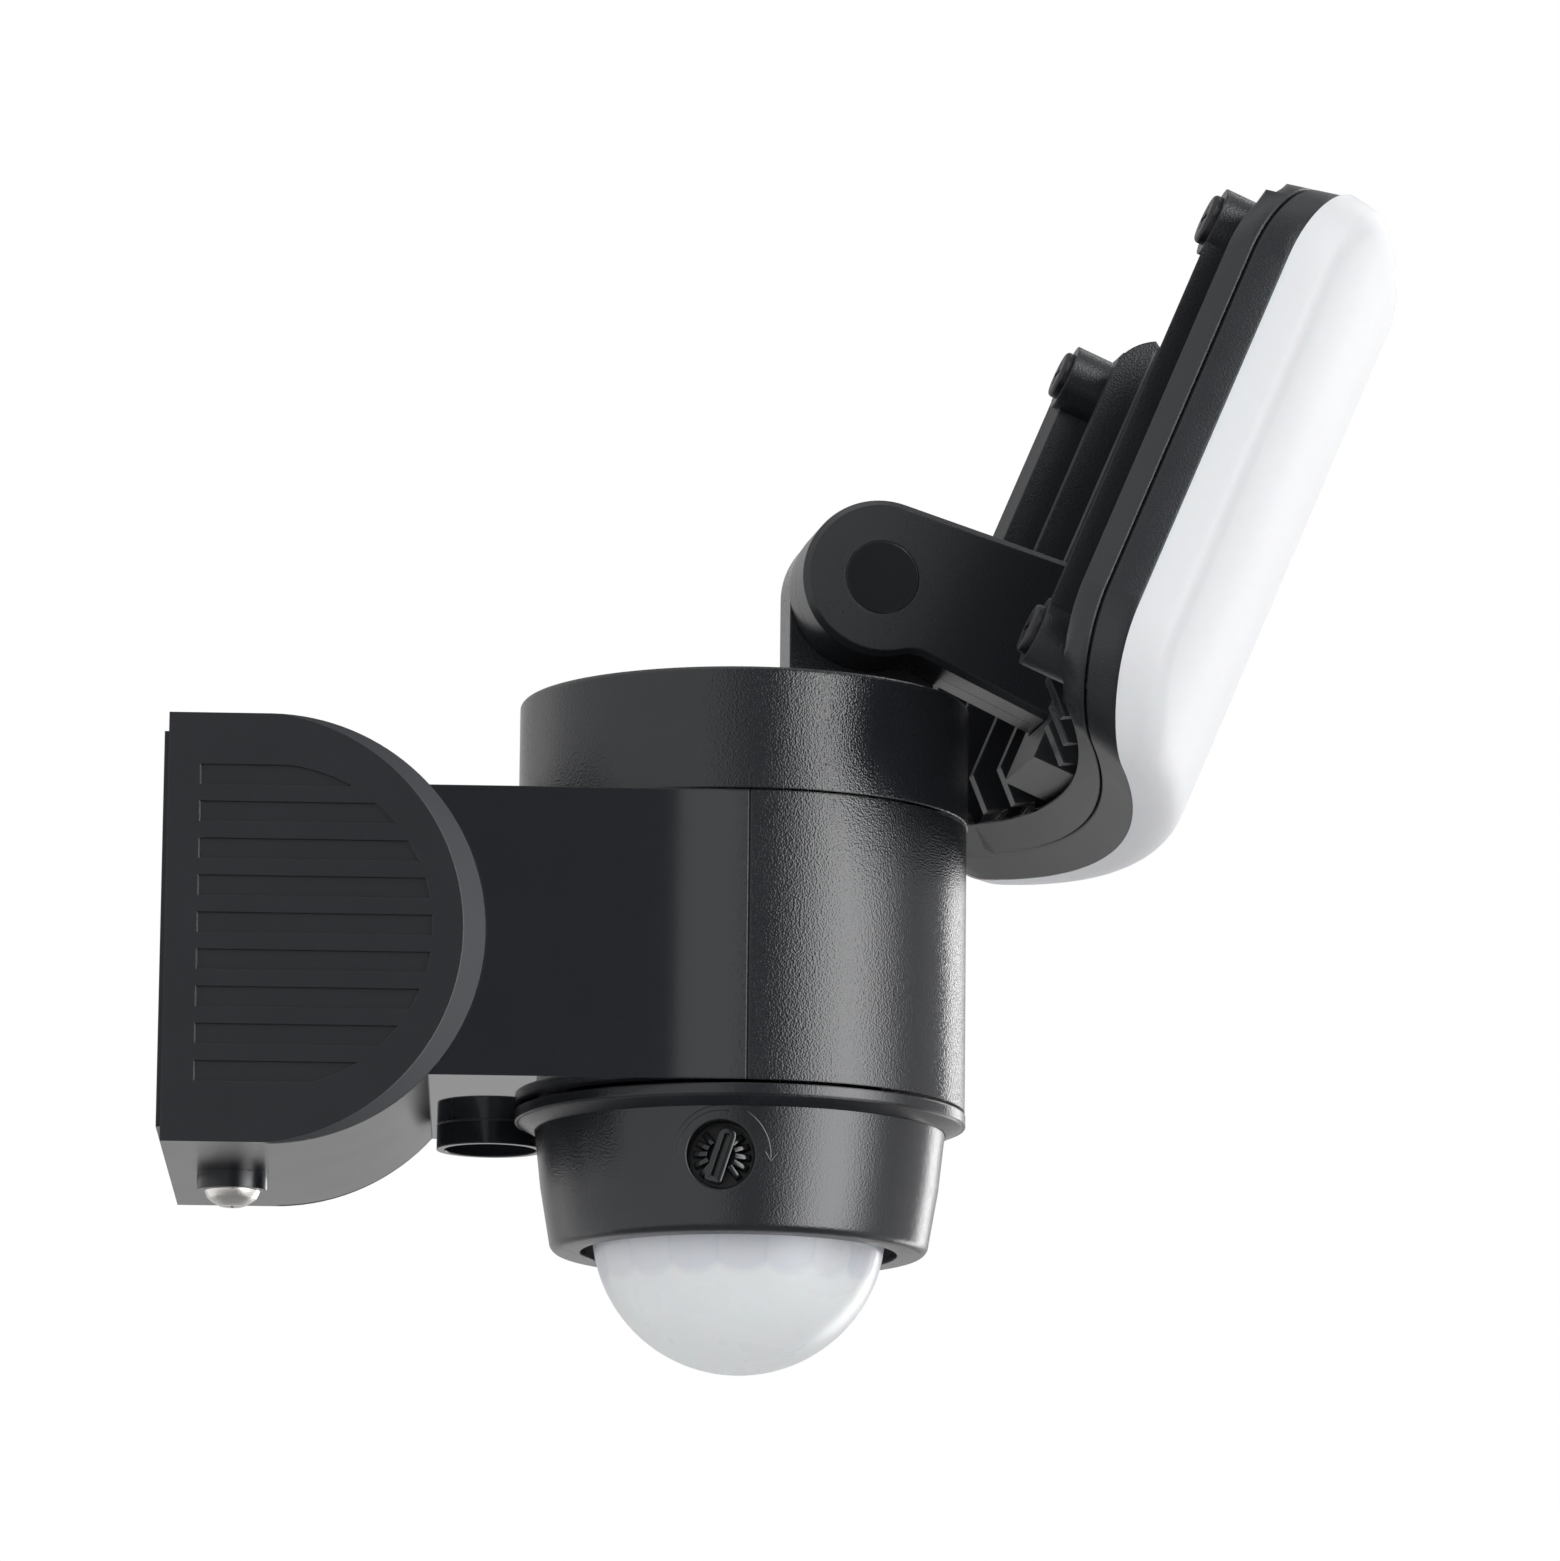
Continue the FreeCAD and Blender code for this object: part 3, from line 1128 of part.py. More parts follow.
rib_set = cut("rib_set", shared("rib_clip", fuse("ribs", *ribs), bow_root), bow_back)
# The corner bosses end level with the outer edge of the rails beside them
boss_back = level_back - sag(rail_start + fin_thick) + boss_shy
corner_bosses = []
boss_holes = []
corners = []
for side in (1, -1):
    for end in (1, -1):
        corners.append((boss_w * side, boss_mid + boss_half * end))
for at in corners:
    corner_bosses.append(rod("corner_boss", "x", boss_r, (boss_back, level_wall), at))
    boss_holes.append(rod("corner_hole", "x", small_shank_r + fit, (boss_back - over, level_seam + over),
                          at))
boss_set = shared("boss_set", fuse("bosses", *corner_bosses), bow_root)
block_clip = shared("block_clip", mid_block, bow_root)
housing_raw = fuse("housing_raw", pan_shell, rib_set, boss_set, block_clip)
arm_window = block("arm_window", (level_back - over * 2, level_seam + over), (arm_near - fit, arm_far + fit),
                   (arm_root_low - fit, arm_root_top + fit))
root_recess = block("root_recess", (root_back, level_seam + over), (-root_half - fit, root_half + fit),
                    (root_low - fit, root_high + fit))
gasket_outer = back_window("gasket_outer", gasket_inset)
gasket_inner = back_window("gasket_inner", gasket_inset + gasket_wide)
bow_gasket = bow("bow_gasket", level_seam - gasket_deep)
gasket_ring = cut("gasket_ring", gasket_outer, gasket_inner)
gasket_body = cut("gasket_body", shared("gasket_solid", gasket_ring, bow_seam), bow_gasket)
root_pilots = []
for side in (1, -1):
    for height in (root_screw_low, root_screw_high):
        root_pilots.append(rod("root_pilot", "x", small_shank_r,
                               (root_back - root_pilot_deep, root_back + over),
                               (root_screw_w * side, height)))
housing = cut("housing_done", housing_raw, gasket_body, arm_window, root_recess,
              *(boss_holes + root_pilots))
finish("head_rear_housing", housing, hinge_frame)
gasket_half = shared("gasket_half", gasket_ring, bow_seam)
finish("head_gasket", cut("gasket_piece", gasket_half, bow_gasket), hinge_frame)
root_corners = []
for side in (1, -1):
    for height in (root_screw_low, root_screw_high):
        root_corners.append((root_screw_w * side, height))
for number, at in enumerate(root_corners, 1):
    seat = root_back + root_thick
    head = rod("root_screw_head", "x", root_head_r, (seat, seat + root_head_high), at)
    shank = rod("root_screw_shank", "x", small_shank_r,
                (root_back - root_pilot_deep + blind_end, seat + sunk), at)
    finish("arm_screw_%d" % number, fuse("root_screw", head, shank), hinge_frame)

# Front frame of the lamp head with its shelf and screw bosses
frame_inner = back_window("frame_inner", bezel_wall)
shelf_inner = block("shelf_inner", (0, level_front), (-led_half + shelf_lap, led_half - shelf_lap),
                    (led_low + shelf_lap, led_high - shelf_lap))
bow_shelf = bow("bow_shelf", level_seam + shelf_thick)
bow_thread = bow("bow_thread", thread_level)
frame_band = cut("frame_band", shared("frame_solid", outer_form, bow_bezel), bow_seam)
frame_room = cut("frame_room", frame_inner, bow_shelf)
frame_shell = cut("frame_shell", frame_band, frame_room, shelf_inner)
head_screw_long = thread_level - sag(boss_w + small_shank_r) - boss_back - gap
thread_posts = []
thread_holes = []
for at in corners:
    thread_posts.append(rod("thread_post", "x", thread_post_r,
                            (boss_back + head_screw_long / 2, level_bezel), at))
    thread_holes.append(rod("thread_hole", "x", small_shank_r, (boss_back, level_front), at))
thread_set = cut("thread_set", shared("thread_clip", fuse("thread_all", *thread_posts), bow_thread),
                 bow_seam)
finish("head_front_frame", cut("frame_done", fuse("frame_full", frame_shell, thread_set), *thread_holes),
       hinge_frame)
for number, at in enumerate(corners, 1):
    head = rod("head_screw_cap", "x", head_screw_r, (boss_back - head_screw_high, boss_back), at)
    dome = round_edges("head_screw_dome", head, head_screw_high / 2,
                       lambda p: p.x < boss_back.value - over.value)
    shank = rod("head_screw_shank", "x", small_shank_r, (boss_back - sunk, boss_back + head_screw_long), at)
    cross_x = (boss_back - head_screw_high - over, boss_back - head_screw_high + head_cross_deep)
    long_w = (at[0] - head_cross_half, at[0] + head_cross_half)
    thin_w = (at[0] - head_cross_thin, at[0] + head_cross_thin)
    long_l = (at[1] - head_cross_half, at[1] + head_cross_half)
    thin_l = (at[1] - head_cross_thin, at[1] + head_cross_thin)
    cross_a = block("head_cross_a", cross_x, long_w, thin_l)
    cross_b = block("head_cross_b", cross_x, thin_w, long_l)
    finish("head_screw_%d" % number, cut("head_screw_done", fuse("head_screw_all", dome, shank), cross_a,
                                         cross_b), hinge_frame)

# Lights: a bent board on the shelf with three rows of chips, and the white tray in front
board_lower = level_seam + shelf_thick
bow_board = bow("bow_board", board_lower + led_board_thick)
led_sheet = block("led_sheet", (0, level_front), (-led_half, led_half), (led_low, led_high))
led_slab = cut("led_slab", shared("led_clip", led_sheet, bow_board), bow_shelf)
chips = []
for row in (-1, 0, 1):
    for column in range(chip_columns):
        middle_w = chip_step_w * (column - (chip_columns - 1) / 2)
        middle_l = boss_mid + chip_step_l * row
        chips.append(block("chip", (board_lower - sag(half_wide), level_front),
                           (middle_w - chip_half, middle_w + chip_half),
                           (middle_l - chip_half, middle_l + chip_half)))
bow_chip = bow("bow_chip", board_lower + led_board_thick + chip_high)
chip_set = cut("chip_set", shared("chip_clip", fuse("chips", *chips), bow_chip), bow_shelf)
finish("led_board", fuse("led_done", led_slab, chip_set), hinge_frame)
tray_form = back_window("tray_form", bezel_wall + fit * 2)
bow_tray = bow("bow_tray", thread_level + tray_thick)
tray_window = block("tray_window", (0, level_front), (-tray_window_half, tray_window_half),
                    (tray_window_low, tray_window_high))
tray_plate = cut("tray_plate", shared("tray_clip", tray_form, bow_tray), bow_thread, tray_window)
lip_outer = block("tray_lip_outer", (0, level_front),
                  (-tray_window_half - tray_lip_wide, tray_window_half + tray_lip_wide),
                  (tray_window_low - tray_lip_wide, tray_window_high + tray_lip_wide))
lip_ring = cut("tray_lip_ring", lip_outer, tray_window)
tray_lip = cut("tray_lip", shared("tray_lip_clip", lip_ring, bow_tray), bow_board)
finish("reflector_tray", fuse("tray_done", tray_plate, tray_lip), hinge_frame)

# Opal cover: bent front, leaning sides and a skirt inside the frame
bow_front = bow("bow_front", level_front)
bow_inside = bow("bow_inside", level_front - opal_wall)
opal_form = front_window("opal_form", fit / 2)
opal_room = front_window("opal_room", opal_wall + fit / 2)
opal_sharp = cut("opal_sharp", shared("opal_clip", opal_form, bow_front), bow_bezel)
opal_solid = round_edges("opal_solid", opal_sharp, opal_round, on_bow(level_front))
skirt_form = back_window("skirt_form", skirt_inset)
skirt_room = back_window("skirt_room", skirt_inset + opal_wall)
bow_lap = bow("bow_lap", level_bezel + opal_ledge / 2)
skirt = cut("opal_skirt", shared("opal_skirt_clip", skirt_form, bow_lap), bow_tray)
hollow_sharp = cut("hollow_sharp", shared("opal_hollow", opal_room, bow_inside),
                   bow("bow_ledge", level_bezel + opal_ledge))
opal_upper = round_edges("opal_upper", hollow_sharp, opal_round - opal_wall, on_bow(level_front - opal_wall))
opal_throat = shared("opal_throat", skirt_room, bow("bow_throat", level_bezel + opal_ledge + fit))
finish("opal_cover", cut("opal_done", fuse("opal_full", opal_solid, skirt), opal_upper, opal_throat),
       hinge_frame)

# Motion sensor head: turning base, cup, lens dome and electronics
base_flange_low = inner_low + play
base_flange_top = base_flange_low + spigot_flange_thick
cup_lean = (cup_top_r - cup_mid_r) * locating_deep / (plate_low - cup_mid_z)
locating_r = cup_top_r - cup_lean - cup_wall - fit
base_solid = spin("eye_base_solid", [
    (plate_r, plate_top), (plate_r, plate_low), (locating_r, plate_low),
    (locating_r, plate_low - locating_deep), (locating_r - locating_wall, plate_low - locating_deep),
    (locating_r - locating_wall, plate_low), (spigot_in, plate_low),
    (spigot_in, base_flange_top), (spigot_flange_r, base_flange_top), (spigot_flange_r, base_flange_low),
    (spigot_r, base_flange_low), (spigot_r, plate_top)])
base_cuts = []
cup_bosses = []
cup_holes = []
eye_stakes = []
eye_holes = []
base_posts = []
for number in range(3):
    angle = math.radians(120 * number + cup_screw_turn)
    at = (cup_screw_at * math.cos(angle), cup_screw_at * math.sin(angle))
    base_cuts.append(rod("base_hole", "z", small_shank_r + fit,
                         (plate_low - locating_deep - over, plate_top + over), at))
    base_cuts.append(rod("base_sink", "z", small_head_r + fit, (plate_top - cup_sink, plate_top + over),
                         at))
    base_cuts.append(rod("base_relief", "z", cup_boss_r + fit,
                         (plate_low - locating_deep - over, plate_low), at))
    cup_bosses.append(rod("cup_boss", "z", cup_boss_r, (cup_boss_low, plate_low), at))
    cup_holes.append(rod("cup_hole", "z", small_shank_r,
                         (plate_low - cup_screw_long - blind_end / 2, plate_low + over), at))
    head = rod("cup_screw_head", "z", small_head_r, (plate_top - cup_sink, plate_top - fit), at)
    shank = rod("cup_screw_shank", "z", small_shank_r,
                (plate_low - cup_screw_long, plate_top - cup_sink + sunk), at)
    finish("cup_screw_%d" % (number + 1), fuse("cup_screw", head, shank), eye_frame)
    angle = math.radians(120 * number - cup_screw_turn)
    at = (eye_post_at * math.cos(angle), eye_post_at * math.sin(angle))
    base_posts.append(rod("eye_post", "z", eye_post_r, (eye_board_top, plate_low + over), at))
    base_posts.append(rod("eye_stake", "z", stake_r,
                          (eye_board_top - board_thick - stake_over, eye_board_top + over), at))
    eye_holes.append(rod("eye_hole", "z", stake_r,
                         (eye_board_top - board_thick - over, eye_board_top + over), at))
base_body = fuse("eye_base_body", base_solid, *base_posts)
finish("sensor_base", cut("eye_base_done", base_body, *base_cuts), eye_frame)

cup_solid = spin("cup_solid", [
    (cup_top_r, plate_low), (cup_mid_r, cup_mid_z), (cup_low_r, cup_low_z, -cup_round),
    (cup_floor_r, cup_floor_z), (mouth_r, cup_floor_z), (mouth_r, ledge_z),
    (cup_low_r - cup_wall, ledge_z), (cup_mid_r - cup_wall, cup_mid_z),
    (cup_top_r - cup_wall, plate_low)])
knob_wall = recess_floor - recess_wall
recess_boss = rod("recess_boss", "x", recess_r + recess_wall, (knob_wall, cup_mid_r - cup_wall / 2))
recess_pad = fuse("recess_pad", recess_boss,
                  rod("recess_stub", "x", recess_r, (knob_wall, knob_wall + over)))
recess_pad.Placement = knob_frame
stem_hole = rod("stem_hole", "x", stem_r + play, (knob_wall - over, recess_floor + over))
recess = rod("recess", "x", recess_r, (recess_floor, cup_top_r + 2))
recess_tools = fuse("recess_tools", stem_hole, recess)
recess_tools.Placement = knob_frame
cup_body = fuse("cup_body", cup_solid, *cup_bosses)
cup_body.Placement = eye_frame
cup_hole_set = fuse("cup_hole_set", *cup_holes)
cup_hole_set.Placement = eye_frame
finish("sensor_cup", cut("cup_done", fuse("cup_full", cup_body, recess_pad), cup_hole_set, recess_tools))

# Lens dome: a thin half ball with a flange on the ledge of the cup
dome_in = dome_r - dome_wall
dome_edge = root(dome_r * dome_r - (ledge_z - dome_z) * (ledge_z - dome_z))
dome = spin("dome", [
    (dome_flange_r, ledge_z), (dome_flange_r, dome_flange_top), (dome_in, dome_flange_top),
    (dome_in, dome_z, -dome_in),
    (0, dome_z - dome_in), (0, dome_z - dome_r, dome_r), (dome_edge, ledge_z)])
finish("lens_dome", dome, eye_frame)

# Sensor board with the motion sensor can and the timer dial that the knob turns
eye_board_low = eye_board_top - board_thick
eye_board = rod("eye_board", "z", eye_board_r, (eye_board_low, eye_board_top))
finish("sensor_board", cut("eye_board_done", eye_board, *eye_holes), eye_frame)
eye_can = rod("eye_can", "z", eye_r, (eye_low, eye_board_low))
eye_rim = rod("eye_rim", "z", eye_r + eye_rim_wide, (eye_board_low - eye_rim_high, eye_board_low))
eye_pane = block("eye_pane", (-eye_window, eye_window), (-eye_window, eye_window),
                 (eye_low - over, eye_low + eye_pane_deep))
finish("motion_sensor", cut("eye_can_done", fuse("eye_can_solid", eye_can, eye_rim), eye_pane), eye_frame)
dial_high = eye_board_low - knob_z
dial_case = block("dial_case", (dial_back, dial_front), (-dial_half, dial_half), (-dial_half, dial_high))
dial_peg = rod("dial_peg", "x", dial_peg_r, (dial_front - over, dial_front + dial_peg_long))
finish("timer_dial", fuse("dial_done", dial_case, dial_peg), knob_frame)

# Timer knob: toothed disc with a raised blade and a stem that reaches the dial
stem_end = dial_front + play
knob_disc = rod("knob_disc", "x", knob_r, (knob_back, knob_face))
knob_stem = rod("knob_stem", "x", stem_r, (stem_end, knob_back + sunk))
knob_socket = rod("knob_socket", "x", dial_peg_r + play,
                  (stem_end - over, dial_front + dial_peg_long + play))
teeth = []
for number in range(tooth_count):
    angle = math.radians(360 * number / tooth_count)
    at = (knob_r * math.cos(angle), knob_r * math.sin(angle))
    teeth.append(rod("tooth_gap", "x", tooth_r, (knob_back - over, knob_face + over), at))
blade_root = knob_face - blade_high / 2
blade = block("blade", (blade_root, knob_face + blade_high), (-blade_half, blade_half),
              (-blade_long, blade_long))
blade_slot = block("blade_slot", (knob_face, knob_face + blade_high + over),
                   (-blade_slot_half, blade_slot_half),
                   (-blade_slot_long, blade_slot_long))
blade_turned = cut("blade_turned", blade, blade_slot)
blade_turned.Placement = FreeCAD.Placement(V(0, 0, 0), FreeCAD.Rotation(V(1, 0, 0), -blade_turn.value))
knob_round = cut("knob_round", fuse("knob_solid", knob_disc, knob_stem), knob_socket, *teeth)
finish("timer_knob", fuse("knob_done", knob_round, blade_turned), knob_frame)

# Every step must have worked before the pieces are written
doc.recompute()
for thing in doc.Objects:
    if "Invalid" in thing.State or "Error" in thing.State:
        raise RuntimeError("%s did not build: %s" % (thing.Label, thing.State))
for name, thing in nodes:
    shape = thing.Shape
    if shape.isNull() or not shape.isValid() or shape.Volume <= 0:
        raise RuntimeError("%s has no valid shape" % name)
    if len(shape.Solids) != 1:
        print("%s has %d solids" % (name, len(shape.Solids)))
    shape.exportStep("parts/%s.step" % name)
    box = shape.BoundBox
    print("%-20s %9.0f mm3  x %7.2f %7.2f  y %7.2f %7.2f  z %7.2f %7.2f" % (
        name, shape.Volume, box.XMin, box.XMax, box.YMin, box.YMax, box.ZMin, box.ZMax))
print(len(nodes), "pieces")
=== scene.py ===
import json
import math
import bmesh
import bpy
from mathutils import Matrix, Vector

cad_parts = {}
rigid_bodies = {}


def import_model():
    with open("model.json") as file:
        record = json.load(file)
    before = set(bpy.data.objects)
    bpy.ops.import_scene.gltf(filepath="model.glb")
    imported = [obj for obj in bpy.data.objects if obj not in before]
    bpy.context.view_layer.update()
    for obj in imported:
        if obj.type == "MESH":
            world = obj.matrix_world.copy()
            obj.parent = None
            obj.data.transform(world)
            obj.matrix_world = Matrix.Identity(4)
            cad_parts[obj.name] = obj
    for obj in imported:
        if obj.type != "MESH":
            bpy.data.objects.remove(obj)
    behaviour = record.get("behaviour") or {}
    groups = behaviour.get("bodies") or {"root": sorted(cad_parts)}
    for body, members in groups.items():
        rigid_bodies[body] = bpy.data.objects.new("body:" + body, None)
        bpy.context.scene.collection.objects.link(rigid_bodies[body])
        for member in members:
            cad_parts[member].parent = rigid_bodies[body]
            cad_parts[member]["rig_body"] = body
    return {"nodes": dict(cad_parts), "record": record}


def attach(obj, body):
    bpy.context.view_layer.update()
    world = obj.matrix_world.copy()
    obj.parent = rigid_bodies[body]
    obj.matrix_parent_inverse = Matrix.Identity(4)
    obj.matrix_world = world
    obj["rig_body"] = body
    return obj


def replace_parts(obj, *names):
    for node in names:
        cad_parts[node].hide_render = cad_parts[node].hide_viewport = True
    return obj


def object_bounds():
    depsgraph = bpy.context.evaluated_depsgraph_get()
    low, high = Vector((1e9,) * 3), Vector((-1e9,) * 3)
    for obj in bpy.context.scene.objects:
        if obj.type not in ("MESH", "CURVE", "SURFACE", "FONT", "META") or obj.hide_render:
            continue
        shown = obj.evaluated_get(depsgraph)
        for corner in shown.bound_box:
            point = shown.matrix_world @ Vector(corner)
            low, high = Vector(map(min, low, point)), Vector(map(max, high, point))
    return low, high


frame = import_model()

MM = 0.001
CAD_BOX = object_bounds()

# Where the light's own axes stand
AXIS_X = 83 * MM
PAN = math.radians(8.5)
TILT = math.radians(22.82)
CAP_PLACE = Matrix.Translation((AXIS_X, 0, 0)) @ Matrix.Rotation(PAN, 4, "Z")
HINGE_PLACE = CAP_PLACE @ Matrix.Translation((19.23 * MM, 0, 58.08 * MM)) @ Matrix.Rotation(TILT, 4, "Y")
KNOB_YAW = math.radians(-96.8)
KNOB_Z = -30.8 * MM
KNOB_PLACE = Matrix.Translation((AXIS_X, 0, KNOB_Z)) @ Matrix.Rotation(KNOB_YAW, 4, "Z")

# Bracket cover: its round face, and the ring round that face
DRUM_X = 11.97 * MM
DRUM_Z = -0.15 * MM
RING_INNER = 30.83 * MM
RING_FACE = 32.35 * MM
RING_BACK = 15.3 * MM

# Lamp head, in the hinge's frame: levels along its bent body, and the middle of its outline
BEND_R = 124.44 * MM
SHOULDER_LEVEL = 37.23 * MM
SEAM_LEVEL = 41.75 * MM
FRONT_LEVEL = 47.63 * MM
HEAD_MIDDLE_Z = 23.46 * MM
OPAL_ROUND = 5 * MM

# Lens: how its rows of cells lie
PANES_ROUND = 18
PANE_HIGH = 4.6 * MM
HEM_Z = -46.2 * MM
HEM_SCALLOP = 1.2 * MM
HEM_SOFT = 1.3 * MM


# Shader maths
class Value:
    """A number on a shader socket. An expression on it adds its maths nodes."""

    def __init__(self, finish, socket):
        self.finish = finish
        self.socket = socket

    def do(self, operation, other=None):
        return self.finish.maths(operation, self, other)

    def held(self, low=0.0):
        """The value kept between low and 1."""
        return self.do("MINIMUM", 1.0).do("MAXIMUM", low)

    def __add__(self, other):
        return self.do("ADD", other)

    def __radd__(self, other):
        return self.finish.maths("ADD", other, self)

    def __sub__(self, other):
        return self.do("SUBTRACT", other)

    def __rsub__(self, other):
        return self.finish.maths("SUBTRACT", other, self)

    def __mul__(self, other):
        return self.do("MULTIPLY", other)

    def __rmul__(self, other):
        return self.finish.maths("MULTIPLY", other, self)

    def __truediv__(self, other):
        return self.do("DIVIDE", other)

    def __rtruediv__(self, other):
        return self.finish.maths("DIVIDE", other, self)


class Finish:
    """One procedural finish. Every node comes from node()."""

    def __init__(self, name, tree=None, **constants):
        if tree is None:
            self.material = bpy.data.materials.new(name)
            self.material.use_nodes = True
            tree = self.material.node_tree
        self.tree = tree
        self.tree.nodes.clear()
        if constants:
            named = {key.replace("_", " "): value for key, value in constants.items()}
            self.surface = self.node("ShaderNodeBsdfPrincipled", {}, named)
            self.node("ShaderNodeOutputMaterial", {}, {"Surface": self.surface})

    def node(self, kind, settings=None, inputs=None, output=0):
        made = self.tree.nodes.new(kind)
        for key, value in (settings or {}).items():
            setattr(made, key, value)
        for key, value in (inputs or {}).items():
            self.feed(made.inputs[key], value)
        return Value(self, made.outputs[output] if made.outputs else None)

    def feed(self, socket, value):
        if isinstance(value, Value):
            self.tree.links.new(value.socket, socket)
        else:
            socket.default_value = value

    def set(self, **links):
        shader = self.surface.socket.node
        for key, value in links.items():
            self.feed(shader.inputs[key.replace("_", " ")], value)

    def maths(self, operation, first, second=None):
        inputs = {0: first}
        if second is not None:
            inputs[1] = second
        return self.node("ShaderNodeMath", {"operation": operation}, inputs)

    def place(self):
        return self.node("ShaderNodeTexCoord", output=3)

    def axes(self, vector):
        """The three numbers of a vector."""
        split = self.node("ShaderNodeSeparateXYZ", {}, {"Vector": vector}).socket.node
        return [Value(self, socket) for socket in split.outputs]

    def noise(self, size, detail=2.0, stretch=None, rough=0.5):
        """Noise between 0 and 1 whose lumps are about this size in metres."""
        where = self.place()
        if stretch:
            where = self.node("ShaderNodeMapping", {}, {"Vector": where, "Scale": stretch})
        return self.node("ShaderNodeTexNoise", {}, {
            "Vector": where, "Scale": 1 / size, "Detail": detail, "Roughness": rough})

    def cells(self, size):
        return self.node("ShaderNodeTexVoronoi", {"feature": "F1"}, {
            "Vector": self.place(), "Scale": 1 / size})

    def blend(self, factor, first, second):
        """A colour between two others, each given as red, green and blue."""
        return self.node("ShaderNodeMix", {"data_type": "RGBA"}, {
            0: factor, 6: (*first, 1), 7: (*second, 1)}, output=2)

    def bump(self, height, distance, edge=0.0):
        """Relief this deep; edge also rounds the corners that the light sees."""
        inputs = {"Height": height, "Distance": distance}
        if edge:
            inputs["Normal"] = self.node("ShaderNodeBevel", {"samples": 4}, {"Radius": edge})
        return self.node("ShaderNodeBump", {}, inputs)


# Finishes
LEAST_ROUGH = 0.012
ETCHED_ROUGH = 0.42
BLACK = (0.0120, 0.0134, 0.0164)
BLACK_WORN = (0.0168, 0.0186, 0.0222)
LEATHER = (0.0125, 0.0138, 0.0167)
LEATHER_WORN = (0.0177, 0.0194, 0.0230)


def black(name, rough, grain_size, grain_deep, tone=1.0, spread=0.04, polished=0.0, edge=0.35 * MM,
          etched=None):
    """Black moulding: a faint mottle in the colour, and the mould's grain in gloss and relief.

    Polished is the width over which the relief fades out, from the case's axis towards the wall.
    Etched is a function that gives the mask of the etched part.
    """
    finish = Finish(name, Roughness=rough, IOR=1.47)
    mottle = finish.noise(9 * MM, 4.0)
    dust = finish.noise(0.6 * MM, 3.0)
    grain = finish.noise(grain_size, 2.5, rough=0.6)
    relief = grain
    if polished:
        across = finish.axes(finish.place())[0]
        relief = grain * ((across - (AXIS_X - polished)) / polished).held(0.03)
    gloss = ((mottle - 0.5) * spread + (grain - 0.5) * spread + rough).do("MAXIMUM", LEAST_ROUGH)
    if etched:
        gloss = gloss + etched(finish) * ETCHED_ROUGH
    finish.set(
        Base_Color=finish.blend(mottle * 0.6 + dust * 0.4, [share * tone for share in BLACK],
                                [share * tone for share in BLACK_WORN]),
        Roughness=gloss,
        Normal=finish.bump(relief, grain_deep, edge=edge))
    return finish.material


def drum_ring(finish):
    """1 on the etched bevel ring round the drum's face, 0 on the rest of the bracket cover."""
    across, aside, high = finish.axes(finish.place())
    reach = ((across - DRUM_X).do("POWER", 2.0) + (high - DRUM_Z).do("POWER", 2.0)).do("SQRT")
    inside = (reach - RING_INNER, aside.do("ABSOLUTE") - RING_FACE, across - RING_BACK)
    first, second, third = [(gap / (0.1 * MM)).held() for gap in inside]
    return first * second * third


def leather(name, rough, grain_deep):
    """Black moulding with the fine leather grain of an etched mould."""
    finish = Finish(name, Roughness=rough, IOR=1.47)
    mottle = finish.noise(8 * MM, 4.0)
    pebble = finish.cells(0.31 * MM)
    fine = finish.noise(0.2 * MM, 1.5)
    relief = pebble.do("POWER", 1.3) * 0.8 + fine * 0.35
    finish.set(
        Base_Color=finish.blend(mottle, LEATHER, LEATHER_WORN),
        Roughness=rough + (fine - 0.5) * 0.12 + (mottle - 0.5) * 0.05,
        Normal=finish.bump(relief, grain_deep, edge=0.4 * MM))
    return finish.material


def steel(name, tone, rough):
    """Plated steel with fine turning marks and a few stains."""
    finish = Finish(name, Metallic=1.0, Roughness=rough)
    stain = finish.noise(2.2 * MM, 4.0)
    marks = finish.noise(0.12 * MM, 2.0, stretch=(1, 1, 12))
    finish.set(
        Base_Color=finish.blend(stain, [share * 0.82 for share in tone], tone),
        Roughness=rough + (stain - 0.5) * 0.2 + (marks - 0.5) * 0.1,
        Normal=finish.bump(marks, 0.01 * MM, edge=0.15 * MM))
    return finish.material


def opal_sheet(name):
    """Opal diffuser: satin white with a very fine frost."""
    finish = Finish(name, Roughness=0.45, IOR=1.49, Specular_IOR_Level=0.2, Subsurface_Weight=0.2,
                    Subsurface_Scale=1.2 * MM)
    cloud = finish.noise(30 * MM, 3.0)
    frost = finish.noise(0.2 * MM, 2.0)
    finish.set(
        Base_Color=finish.blend(cloud, (0.79, 0.80, 0.83), (0.84, 0.85, 0.87)),
        Roughness=0.4 + frost * 0.1,
        Normal=finish.bump(frost, 0.006 * MM))
    return finish.material


